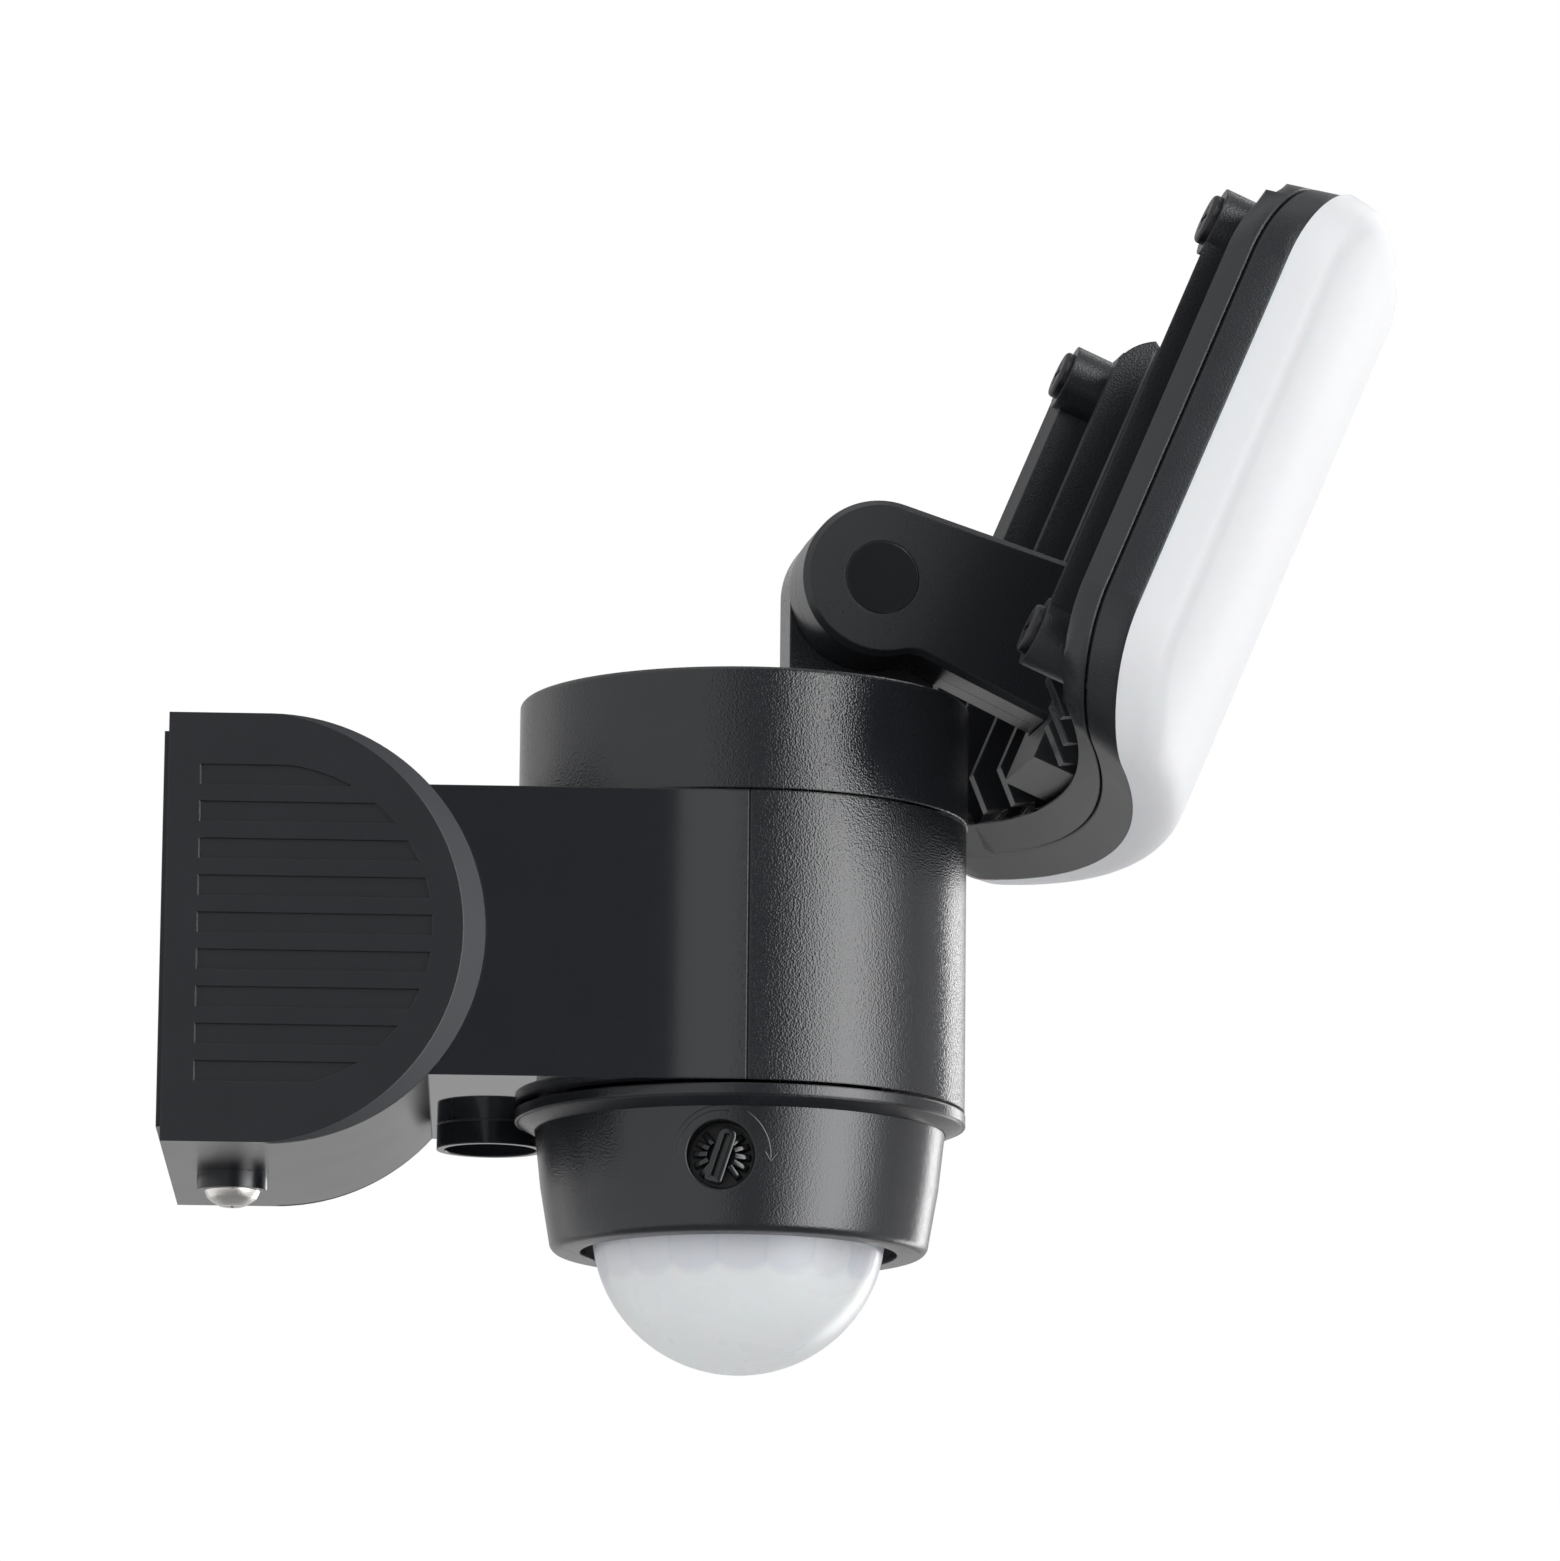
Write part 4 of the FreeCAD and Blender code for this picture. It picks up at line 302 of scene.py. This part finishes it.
def lens_film(name):
    """Milky lens: rows of lens cells show through the film as soft darker panes above a scalloped hem."""
    finish = Finish(name, Roughness=0.26, IOR=1.5, Specular_IOR_Level=0.22, Subsurface_Weight=0.3,
                    Subsurface_Scale=3 * MM)
    across, along, height = finish.axes(finish.place())
    turn = along.do("ARCTAN2", across - AXIS_X) * (PANES_ROUND / math.tau)
    wave = (turn.do("FRACT") - 0.5).do("ABSOLUTE") * 2
    hem = height - wave.do("POWER", 2.0) * HEM_SCALLOP - HEM_Z
    band = (hem / HEM_SOFT + 0.5).held()
    pane = finish.node("ShaderNodeCombineXYZ", {}, {
        0: turn.do("FLOOR"), 1: (height / PANE_HIGH).do("FLOOR")})
    shade = finish.node("ShaderNodeTexWhiteNoise", {}, {"Vector": pane})
    rib = wave.do("POWER", 14.0)
    cloud = finish.noise(9 * MM, 3.0)
    mask = band * (shade * 0.4 + rib * 0.25 + 0.35) + cloud * 0.15
    finish.set(
        Base_Color=finish.blend(mask, (0.88, 0.868, 0.875), (0.69, 0.695, 0.77)),
        Roughness=0.24 + cloud * 0.08,
        Normal=finish.bump(rib * band, 0.03 * MM))
    return finish.material


def plain_plastic(name, first, second, rough):
    """Any small inner moulding: two tones in fine mottle."""
    finish = Finish(name, Roughness=rough)
    mottle = finish.noise(1.2 * MM, 4.0)
    finish.set(
        Base_Color=finish.blend(mottle, first, second),
        Roughness=rough + (mottle - 0.5) * 0.15,
        Normal=finish.bump(mottle, 0.01 * MM, edge=0.2 * MM))
    return finish.material


def board_green(name):
    """Circuit board: solder mask with fine copper runs under it."""
    finish = Finish(name, Roughness=0.35)
    runs = finish.noise(1.5 * MM, 1.0, stretch=(1, 6, 1))
    lines = ((runs - 0.5).do("ABSOLUTE") * 18).do("MINIMUM", 1.0)
    finish.set(
        Base_Color=finish.blend(lines, (0.05, 0.24, 0.10), (0.012, 0.11, 0.045)),
        Roughness=0.3 + lines * 0.1,
        Normal=finish.bump(lines, 0.02 * MM))
    return finish.material


# The finish of each slot, and those of single pieces
SLOT_FINISH = {
    "gloss_shell": black("gloss_shell", 0.02, 0.45 * MM, 0.004 * MM, spread=0.01, polished=4 * MM),
    "grain_shell": leather("grain_shell", 0.17, 0.050 * MM),
    "ribbed_shell": black("ribbed_shell", 0.32, 0.35 * MM, 0.006 * MM),
    "opal": opal_sheet("opal"),
    "milky_lens": lens_film("milky_lens"),
    "screw_steel": steel("screw_steel", (0.80, 0.78, 0.75), 0.24),
    "dark_steel": steel("dark_steel", (0.055, 0.055, 0.06), 0.42),
    "seal_rubber": plain_plastic("seal_rubber", (0.02, 0.02, 0.02), (0.04, 0.04, 0.04), 0.8),
    "slide_plastic": plain_plastic("slide_plastic", (0.70, 0.70, 0.66), (0.80, 0.80, 0.76), 0.45),
    "tray_white": plain_plastic("tray_white", (0.82, 0.82, 0.82), (0.90, 0.90, 0.90), 0.25),
    "circuit_board": board_green("circuit_board"),
    "led_white": plain_plastic("led_white", (0.85, 0.83, 0.62), (0.92, 0.92, 0.86), 0.4),
    "cell_sleeve": plain_plastic("cell_sleeve", (0.04, 0.20, 0.38), (0.06, 0.28, 0.50), 0.25),
    "sensor_can": steel("sensor_can", (0.70, 0.70, 0.68), 0.3),
    "dial_blue": plain_plastic("dial_blue", (0.06, 0.14, 0.40), (0.10, 0.22, 0.55), 0.4),
}
DRUM = black("drum_shell", 0.25, 0.35 * MM, 0.006 * MM, edge=0.2 * MM, etched=drum_ring)
ARM = black("arm_shell", 0.28, 0.35 * MM, 0.006 * MM)
CUP = leather("cup_shell", 0.21, 0.030 * MM)
HEAD = leather("head_shell", 0.36, 0.034 * MM)
PLUG = black("plug_shell", 0.10, 0.3 * MM, 0.003 * MM, tone=0.6)
# Painted shade: the knob's bottom disc is coloured at 0.4 of the black to stand in for the recess's shadow;
# it is also rougher.
PIT_PAINTED_SHADE = black("knob_pit", 0.5, 0.3 * MM, 0.003 * MM, tone=0.4)
KNOB = black("knob_shell", 0.16, 0.3 * MM, 0.004 * MM, tone=0.8, edge=0.06 * MM)

NODE_SLOT = {entry["node"]: entry["material_slot"] for entry in frame["record"]["subparts"]}
for node_name, node in frame["nodes"].items():
    node.data.materials.clear()
    node.data.materials.append(SLOT_FINISH[NODE_SLOT[node_name]])


# Making pieces
def publish(name, mesh_data, finish, node_name):
    """Puts a finished bmesh into the scene as one piece with this finish, on this node's body."""
    mesh = bpy.data.meshes.new(name)
    mesh_data.to_mesh(mesh)
    mesh_data.free()
    mesh.materials.append(finish)
    piece = bpy.data.objects.new(name, mesh)
    bpy.context.scene.collection.objects.link(piece)
    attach(piece, frame["nodes"][node_name]["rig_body"])
    return piece


def stand_in(node_name, mesh_data, finish):
    """The dressed copy takes the solid's place."""
    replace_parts(publish("dressed_" + node_name, mesh_data, finish, node_name), node_name)


def merged_copy(node_name):
    """The solid's mesh with its seams closed and its flat faces whole."""
    copy = bmesh.new()
    copy.from_mesh(frame["nodes"][node_name].data)
    bmesh.ops.remove_doubles(copy, verts=copy.verts, dist=0.004 * MM)
    bmesh.ops.dissolve_limit(
        copy, angle_limit=math.radians(0.2), use_dissolve_boundaries=False,
        verts=copy.verts, edges=copy.edges)
    return copy


def smooth_but_sharp(work, angle=30):
    """Smooth shading, except over edges that turn by more than this angle in degrees."""
    for face in work.faces:
        face.smooth = True
    for edge in work.edges:
        edge.smooth = len(edge.link_faces) == 2 and edge.calc_face_angle(0) < math.radians(angle)


def soften(work, edges, wide, segments):
    bmesh.ops.bevel(work, geom=edges, offset=wide, segments=segments, profile=0.5, affect="EDGES",
                    material=-1, clamp_overlap=False)


def turned(work, points, angle):
    """Turns these points about the x axis, in degrees."""
    bmesh.ops.rotate(work, verts=points, cent=(0, 0, 0),
                     matrix=Matrix.Rotation(math.radians(angle), 3, "X"))


# Pieces that keep the solid's shape, with their own finish where the slot's won't do
DRESSED = {
    "wall_plate": None, "body_rear_shell": None, "body_front_shell": None, "swivel_cap": None,
    "head_arm_near": ARM, "head_arm_far": ARM, "hinge_cover_near": PLUG, "hinge_cover_far": PLUG,
    "head_screw_1": None, "head_screw_2": None, "head_screw_3": None, "head_screw_4": None,
    "sensor_cup": CUP, "lens_dome": None, "cable_socket": None, "bracket_cover": DRUM,
}
FINE_ANGLE = {"bracket_cover": 12}
for node_name, own_finish in DRESSED.items():
    dressed = merged_copy(node_name)
    smooth_but_sharp(dressed, FINE_ANGLE.get(node_name, 30))
    stand_in(node_name, dressed, own_finish or SLOT_FINISH[NODE_SLOT[node_name]])


# Lamp head
HOUSING_EDGE = 0.12 * MM
GROOVE = 0.6 * MM
FRONT_ROUND = 0.25 * MM
SHOULDER_IN = 1.7 * MM


def bend_drop(aside):
    """How far the bent body falls back at this distance from its middle."""
    return BEND_R - math.sqrt(BEND_R ** 2 - aside ** 2)


def outline_edges(work, level, near=0.03 * MM):
    """The outer edge of the lamp head's body where it crosses this level."""
    back = HINGE_PLACE.inverted()
    turn = back.to_3x3()
    found = []
    for edge in work.edges:
        ends = [back @ point.co for point in edge.verts]
        if any(abs(end.x + bend_drop(end.y) - level) > near for end in ends):
            continue
        middle = (ends[0] + ends[1]) / 2
        outward = Vector((0, middle.y, middle.z - HEAD_MIDDLE_Z)).normalized()
        sides = [turn @ face.normal for face in edge.link_faces]
        if (any(abs(side.x) < 0.4 and side.dot(outward) > 0.3 for side in sides)
                and any(abs(side.x) > 0.6 for side in sides)):
            found.append(edge)
    return found


def draw_in(work, level, inward):
    """Draws the outline at this level in towards the middle of the head, along the bent body."""
    back = HINGE_PLACE.inverted()
    turn = back.to_3x3()
    pulls = {}
    for edge in outline_edges(work, level):
        for face in edge.link_faces:
            normal = turn @ face.normal
            if abs(normal.x) < 0.4:
                for point in edge.verts:
                    pull = pulls.setdefault(point, Vector())
                    pull += Vector((0, normal.y, normal.z)).normalized()
    for point, pull in pulls.items():
        spot = back @ point.co
        spot -= pull.normalized() * inward
        spot.x = level - bend_drop(spot.y)
        point.co = HINGE_PLACE @ spot


def head_shells():
    """The housing's shoulder slopes. A fine groove, cut mostly from the frame, parts the two."""
    housing = merged_copy("head_rear_housing")
    soften(housing, outline_edges(housing, SEAM_LEVEL), HOUSING_EDGE, 1)
    draw_in(housing, SHOULDER_LEVEL, SHOULDER_IN)
    smooth_but_sharp(housing, 24)
    stand_in("head_rear_housing", housing, HEAD)
    front_frame = merged_copy("head_front_frame")
    soften(front_frame, outline_edges(front_frame, SEAM_LEVEL), GROOVE, 1)
    soften(front_frame, outline_edges(front_frame, FRONT_LEVEL), FRONT_ROUND, 2)
    smooth_but_sharp(front_frame, 24)
    stand_in("head_front_frame", front_frame, HEAD)


def crisp_front():
    """The opal cover's front round is drawn out to a crease along its near and far sides."""
    crisp = 5
    work = merged_copy("opal_cover")
    work.normal_update()
    back = HINGE_PLACE.inverted()
    moves = {}
    for point in work.verts:
        spot = back @ point.co
        normal = back.to_3x3() @ point.normal
        front = Vector((1, spot.y / math.sqrt(BEND_R ** 2 - spot.y ** 2), 0)).normalized()
        facing = normal.dot(front)
        aside = normal - front * facing
        outward = Vector((0, spot.y, spot.z - HEAD_MIDDLE_Z))
        if 0.02 < facing < 0.9999 and aside.dot(outward) > 0:
            share = (facing ** crisp + aside.length ** crisp) ** (-1 / crisp) - 1
            moves[point] = point.normal * (OPAL_ROUND * share * aside.normalized().y ** 2)
    for point, move in moves.items():
        point.co += move
        point.co.y = min(point.co.y, CAD_BOX[1][1])
    smooth_but_sharp(work)
    stand_in("opal_cover", work, SLOT_FINISH["opal"])


# Lock screw and flange
SCREW_X = 9.9 * MM
SCREW_RIM_Z = -33.6 * MM
SCREW_CONE_HIGH = 1.9 * MM
SCREW_CONE_NARROWS = 0.48
FLANGE_TOP_Z = -20.95 * MM
FLANGE_EDGE_R = 32.5 * MM
FLANGE_RELIEF = 0.22 * MM
# Section of the skirt under the flange, as radius and height in mm
SKIRT = ((32.35, -22.62), (31.6, -23.05), (30.2, -23.75), (29.74, -23.95), (29.5, -22.62))


def lock_screw():
    """Pan head under the bracket: thin rim, then a low cone to the cross."""
    work = merged_copy("bracket_lock_screw")
    for point in work.verts:
        drop = (SCREW_RIM_Z - point.co.z) / SCREW_CONE_HIGH
        if drop > 0:
            pull = 1 - SCREW_CONE_NARROWS * min(drop, 1.0) ** 1.3
            point.co.x = SCREW_X + (point.co.x - SCREW_X) * pull
            point.co.y *= pull
    smooth_but_sharp(work, 35)
    stand_in("bracket_lock_screw", work, SLOT_FINISH["screw_steel"])


def sensor_flange():
    """The flange over the cup: a relieved top edge, and a coned skirt that runs down to the cup."""
    work = merged_copy("sensor_base")
    for point in work.verts:
        reach = math.hypot(point.co.x - AXIS_X, point.co.y)
        if point.co.z > FLANGE_TOP_Z and reach > FLANGE_EDGE_R:
            point.co.z -= FLANGE_RELIEF
    smooth_but_sharp(work)
    stand_in("sensor_base", work, CUP)
    skirt = bmesh.new()
    points = [skirt.verts.new((reach * MM, 0, height * MM)) for reach, height in SKIRT]
    edges = [skirt.edges.new(pair) for pair in zip(points, points[1:] + points[:1])]
    bmesh.ops.spin(skirt, geom=points + edges, cent=(0, 0, 0), axis=(0, 0, 1), angle=math.tau,
                   steps=144, use_merge=True, use_duplicate=False)
    bmesh.ops.remove_doubles(skirt, verts=skirt.verts, dist=0.001 * MM)
    bmesh.ops.translate(skirt, verts=skirt.verts, vec=(AXIS_X, 0, 0))
    bmesh.ops.recalc_face_normals(skirt, faces=skirt.faces)
    smooth_but_sharp(skirt, 35)
    publish("flange_skirt", skirt, CUP, "sensor_base")


# Timer knob and the turning marks round it, made in the knob's own frame: x points out of the cup
KNOB_R = 4.55 * MM
KNOB_FACE = 27.1 * MM
DISC_X = KNOB_FACE - 1.25 * MM
POINTER = (2.0 * MM, 2.5 * MM, 8.0 * MM)
POINTER_TURN = -18
BLADE = (1.9 * MM, 1.2 * MM, 2.4 * MM)
BLADE_TAPER = 0.6
BLADES = 5
BLADE_STEP = 24
FAN_TURN = -94
FAN_CREST_R = 2.6 * MM
FAN_SLOPE = 0.54
ARROW_R = 7.05 * MM
ARROW_THICK = 0.15 * MM
HAIR_THICK = 0.07 * MM
# Each hairline arc's radius, start and stop in degrees
HAIR_ARCS = ((6.15 * MM, 78, 182), (6.85 * MM, 84, 186))
# Outside of the cup as height and radius in mm
CUP_PROFILE = ((-22.65, 29.8), (-32.0, 28.75), (-40.4, 27.3))


def cup_radius(height):
    """The cup's outer radius at this height."""
    below = height <= CUP_PROFILE[1][0] * MM
    (top, wide), (low, narrow) = CUP_PROFILE[below:below + 2]
    share = (top * MM - height) / ((top - low) * MM)
    return (wide + (narrow - wide) * share) * MM


def knob_disc():
    """The disc at the bottom of the knob, its colour darkened as painted shade for the deep recess."""
    disc = bmesh.new()
    bmesh.ops.create_cone(
        disc, cap_ends=True, segments=64, radius1=KNOB_R, radius2=KNOB_R, depth=0.5 * MM,
        matrix=KNOB_PLACE @ Matrix.Translation((DISC_X, 0, 0)) @ Matrix.Rotation(math.radians(90), 4, "Y"))
    smooth_but_sharp(disc)
    publish("timer_knob_disc", disc, PIT_PAINTED_SHADE, "timer_knob")


def blade(work, angle):
    """One block of the fan, narrower towards its outer face, turned about the knob's axis."""
    points = bmesh.ops.create_cube(work, size=1.0)["verts"]
    bmesh.ops.scale(work, verts=points, vec=BLADE)
    outer = [point for point in points if point.co.x > 0]
    bmesh.ops.scale(work, verts=outer, vec=(1, BLADE_TAPER, BLADE_TAPER ** 0.3))
    bmesh.ops.translate(work, verts=points, vec=(1.1 * MM, 0, 3.0 * MM))
    turned(work, points, angle)
    edges = list(dict.fromkeys(edge for point in points for edge in point.link_edges))
    soften(work, edges, 0.14 * MM, 2)


def fan_blades(work):
    """Two fans of blades, whose crests slope down away from the knob's axis."""
    for side in (0, 180):
        for number in range(BLADES):
            blade(work, FAN_TURN + side + (number - BLADES // 2) * BLADE_STEP)
    for point in work.verts:
        if point.co.x > 0.7 * MM:
            point.co.x += FAN_SLOPE * (FAN_CREST_R - math.hypot(point.co.y, point.co.z))


def pointer_loop(work):
    """The raised pointer between the fans: one end rounder than the other, with a pit in its face."""
    fan = set(work.verts)
    cube = bmesh.ops.create_cube(work, size=1.0)["verts"]
    bmesh.ops.scale(work, verts=cube, vec=POINTER)
    for end, offset, segments in ((1, 1.05 * MM, 3), (-1, 0.5 * MM, 2)):
        upright = [edge for edge in work.edges if not fan.intersection(edge.verts)
                   and abs(edge.verts[0].co.x - edge.verts[1].co.x) > 1.9 * MM
                   and all(point.co.z * end > 3.9 * MM for point in edge.verts)]
        soften(work, upright, offset, segments)
    caps = [face for face in work.faces if not fan.intersection(face.verts) and face.normal.x > 0.99]
    for thickness, depth in ((0.22 * MM, 0.15 * MM), (0.55 * MM, 0), (0.04 * MM, -1.8 * MM)):
        bmesh.ops.inset_region(work, faces=caps, thickness=thickness, depth=depth, use_even_offset=True)
    pointer = [point for point in work.verts if point not in fan]
    turned(work, pointer, POINTER_TURN)
    bmesh.ops.translate(work, verts=pointer, vec=(1.4 * MM, 0, 0))


def knob_fan():
    """A coned fan of blades on either side of a raised pointer loop."""
    work = bmesh.new()
    fan_blades(work)
    pointer_loop(work)
    bmesh.ops.translate(work, verts=work.verts, vec=(DISC_X, 0, 0))
    bmesh.ops.transform(work, verts=work.verts, matrix=KNOB_PLACE)
    bmesh.ops.recalc_face_normals(work, faces=work.faces)
    smooth_but_sharp(work, 35)
    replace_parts(publish("timer_knob_fan", work, KNOB, "timer_knob"), "timer_knob")


def arc(work, radius, thick, start, stop):
    """A line of round section that runs round the knob's axis, from one angle to another."""
    spin_from = Matrix.Rotation(math.radians(start), 4, "X") @ Matrix.Translation((0, radius, 0))
    ring = bmesh.ops.create_circle(
        work, segments=8, radius=thick, cap_ends=True, matrix=spin_from)["verts"]
    bmesh.ops.spin(work, geom=ring[0].link_faces[:], cent=(0, 0, 0), axis=(1, 0, 0),
                   angle=math.radians(stop - start), steps=28, use_merge=False, use_duplicate=False)


def dial_marks():
    """Moulded turning marks on the cup: one arrow to the right of the knob, two faint arcs to its left."""
    work = bmesh.new()
    arc(work, ARROW_R, ARROW_THICK, 62, -4)
    for angle in (30, -38):
        barb = bmesh.ops.create_cone(work, cap_ends=True, segments=8, radius1=ARROW_THICK,
                                     radius2=0.13 * MM, depth=1.5 * MM)["verts"]
        bmesh.ops.translate(work, verts=barb, vec=(0, 0, 0.75 * MM))
        turned(work, barb, angle)
        bmesh.ops.translate(work, verts=barb, vec=(0, ARROW_R, -0.9 * MM))
    for radius, start, stop in HAIR_ARCS:
        arc(work, radius, HAIR_THICK, start, stop)
    for point in work.verts:
        reach = cup_radius(point.co.z + KNOB_Z)
        point.co.x += math.sqrt(reach ** 2 - point.co.y ** 2) - 0.03 * MM
    bmesh.ops.transform(work, verts=work.verts, matrix=KNOB_PLACE)
    bmesh.ops.recalc_face_normals(work, faces=work.faces)
    smooth_but_sharp(work, 35)
    publish("cup_dial_marks", work, KNOB, "sensor_cup")


for make in (head_shells, crisp_front, lock_screw, sensor_flange, knob_disc, knob_fan, dial_marks):
    make()


# Lamps: soft fill that the mouldings don't mirror
def around(azimuth, distance, height):
    """A spot round the case: azimuth 0 is the camera's side, positive to its right."""
    turn = math.radians(azimuth)
    return Vector((AXIS_X + distance * math.sin(turn), -distance * math.cos(turn), height))


for name, spot, size, power in (("right_softbox", around(55, 1.2, 0.45), 0.7, 2.7),
                                ("front_softbox", around(-25, 1.6, 0.35), 0.8, 3.4)):
    lamp = bpy.data.lights.new(name, "AREA")
    lamp.shape = "RECTANGLE"
    lamp.size = lamp.size_y = size
    lamp.energy = power
    holder = bpy.data.objects.new(name, lamp)
    bpy.context.scene.collection.objects.link(holder)
    holder.location = spot
    holder.rotation_euler = (Vector((AXIS_X, 0, 10 * MM)) - spot).to_track_quat("-Z", "Y").to_euler()
    holder.visible_camera = False
    holder.visible_glossy = False

# World: white to the camera, even to matt surfaces, soft cards to glossy ones
EVEN_LIGHT = 0.72
ROOM = 0.16
BACK_WALL = 0.48
FROM_BELOW = 0.12
world = bpy.data.worlds.new("studio")
bpy.context.scene.world = world
world.use_nodes = True
studio = Finish("studio", tree=world.node_tree)
path = studio.node("ShaderNodeLightPath").socket.node.outputs
sees, glossy, through = [Value(studio, path[kind]) for kind in (
    "Is Camera Ray", "Is Glossy Ray", "Is Transmission Ray")]
toward_x, toward_y, toward_z = studio.axes(studio.node("ShaderNodeTexCoord", output=0))
azimuth = toward_x.do("ARCTAN2", toward_y * -1.0) * (180 / math.pi)
height = toward_z.do("ARCSINE") * (180 / math.pi)


def rise(angle, start, wide):
    """0 before the start, 1 after it, with a soft edge this many degrees wide."""
    return studio.node("ShaderNodeMapRange", {"interpolation_type": "SMOOTHSTEP"}, {
        "Value": angle, "From Min": start - wide / 2, "From Max": start + wide / 2})


def card(brightness, sides, side_soft, ends, end_soft):
    """A soft light card seen in the black mouldings, by its azimuth and its height in degrees."""
    across = rise(azimuth, sides[0], side_soft[0]) - rise(azimuth, sides[1], side_soft[1])
    upward = rise(height, ends[0], end_soft) - rise(height, ends[1], end_soft)
    return across * upward * brightness


left_fill = card(0.8, (-138, -6), (12, 12), (-40, 75), 20)
right_box = card(7.8, (33, 74), (30, 24), (-35, 42), 20)
right_fill = card(0.6, (78, 128), (20, 4), (-50, 70), 15)
rim = card(5.8, (138, 151), (3, 7), (-30, 50), 12)
streak = card(1.1, (1.0, 1.9), (0.08, 0.5), (4, 18), 1.5)
cards = left_fill + right_box + right_fill + rim + streak
behind = (toward_y * 2.2 - 1.0).held()
below = (1 - rise(height, -4, 12)) * (1 - behind)
above = rise(height, 70, 25)
mirror = cards + behind * BACK_WALL + below * FROM_BELOW + above + ROOM
brightness = studio.node("ShaderNodeMix", {"data_type": "FLOAT"}, {0: glossy, 2: EVEN_LIGHT, 3: mirror})
brightness = brightness.do("MAXIMUM", sees.do("MAXIMUM", through))
light = studio.node("ShaderNodeBackground", {}, {"Color": (1, 1, 1, 1), "Strength": brightness})
studio.node("ShaderNodeOutputWorld", {}, {"Surface": light})

# Floor
FLOOR_Z = -260 * MM
floor_mesh = bmesh.new()
bmesh.ops.create_grid(floor_mesh, x_segments=1, y_segments=1, size=3.0)
bmesh.ops.translate(floor_mesh, verts=floor_mesh.verts, vec=(0, 0, FLOOR_Z))
floor_data = bpy.data.meshes.new("floor")
floor_mesh.to_mesh(floor_data)
floor_mesh.free()
floor_finish = Finish("floor_paint", Roughness=0.7)
floor_finish.set(Base_Color=floor_finish.blend(
    floor_finish.noise(20 * MM, 3.0), (0.80, 0.80, 0.80), (0.84, 0.84, 0.84)))
floor_data.materials.append(floor_finish.material)
floor = bpy.data.objects.new("floor", floor_data)
bpy.context.scene.collection.objects.link(floor)
floor.visible_glossy = False

# Camera: its place and turn were fitted to the edges in the photo
PHOTO_WIDE_PX = 1560
FOCAL_PX = 8630.0
SENSOR_WIDE = 36.0
CAMERA_AT = Vector((52, -1237, -200)) * MM
yaw, lift, roll = math.radians(1.68), math.radians(10.45), math.radians(0.60)
ahead = Vector((math.sin(yaw) * math.cos(lift), math.cos(yaw) * math.cos(lift), math.sin(lift)))
level_right = Vector((math.cos(yaw), -math.sin(yaw), 0))
level_up = level_right.cross(ahead)
right = math.cos(roll) * level_right + math.sin(roll) * level_up
up = -math.sin(roll) * level_right + math.cos(roll) * level_up
camera_data = bpy.data.cameras.new("camera")
camera_data.sensor_width = SENSOR_WIDE
camera_data.lens = FOCAL_PX * SENSOR_WIDE / PHOTO_WIDE_PX
camera_data.clip_start = 0.01
camera = bpy.data.objects.new("camera", camera_data)
bpy.context.scene.collection.objects.link(camera)
camera.matrix_world = Matrix.Translation(CAMERA_AT) @ Matrix((
    (right.x, up.x, -ahead.x, 0), (right.y, up.y, -ahead.y, 0), (right.z, up.z, -ahead.z, 0), (0, 0, 0, 1)))
bpy.context.scene.camera = camera
bpy.context.scene.view_settings.view_transform = "Standard"
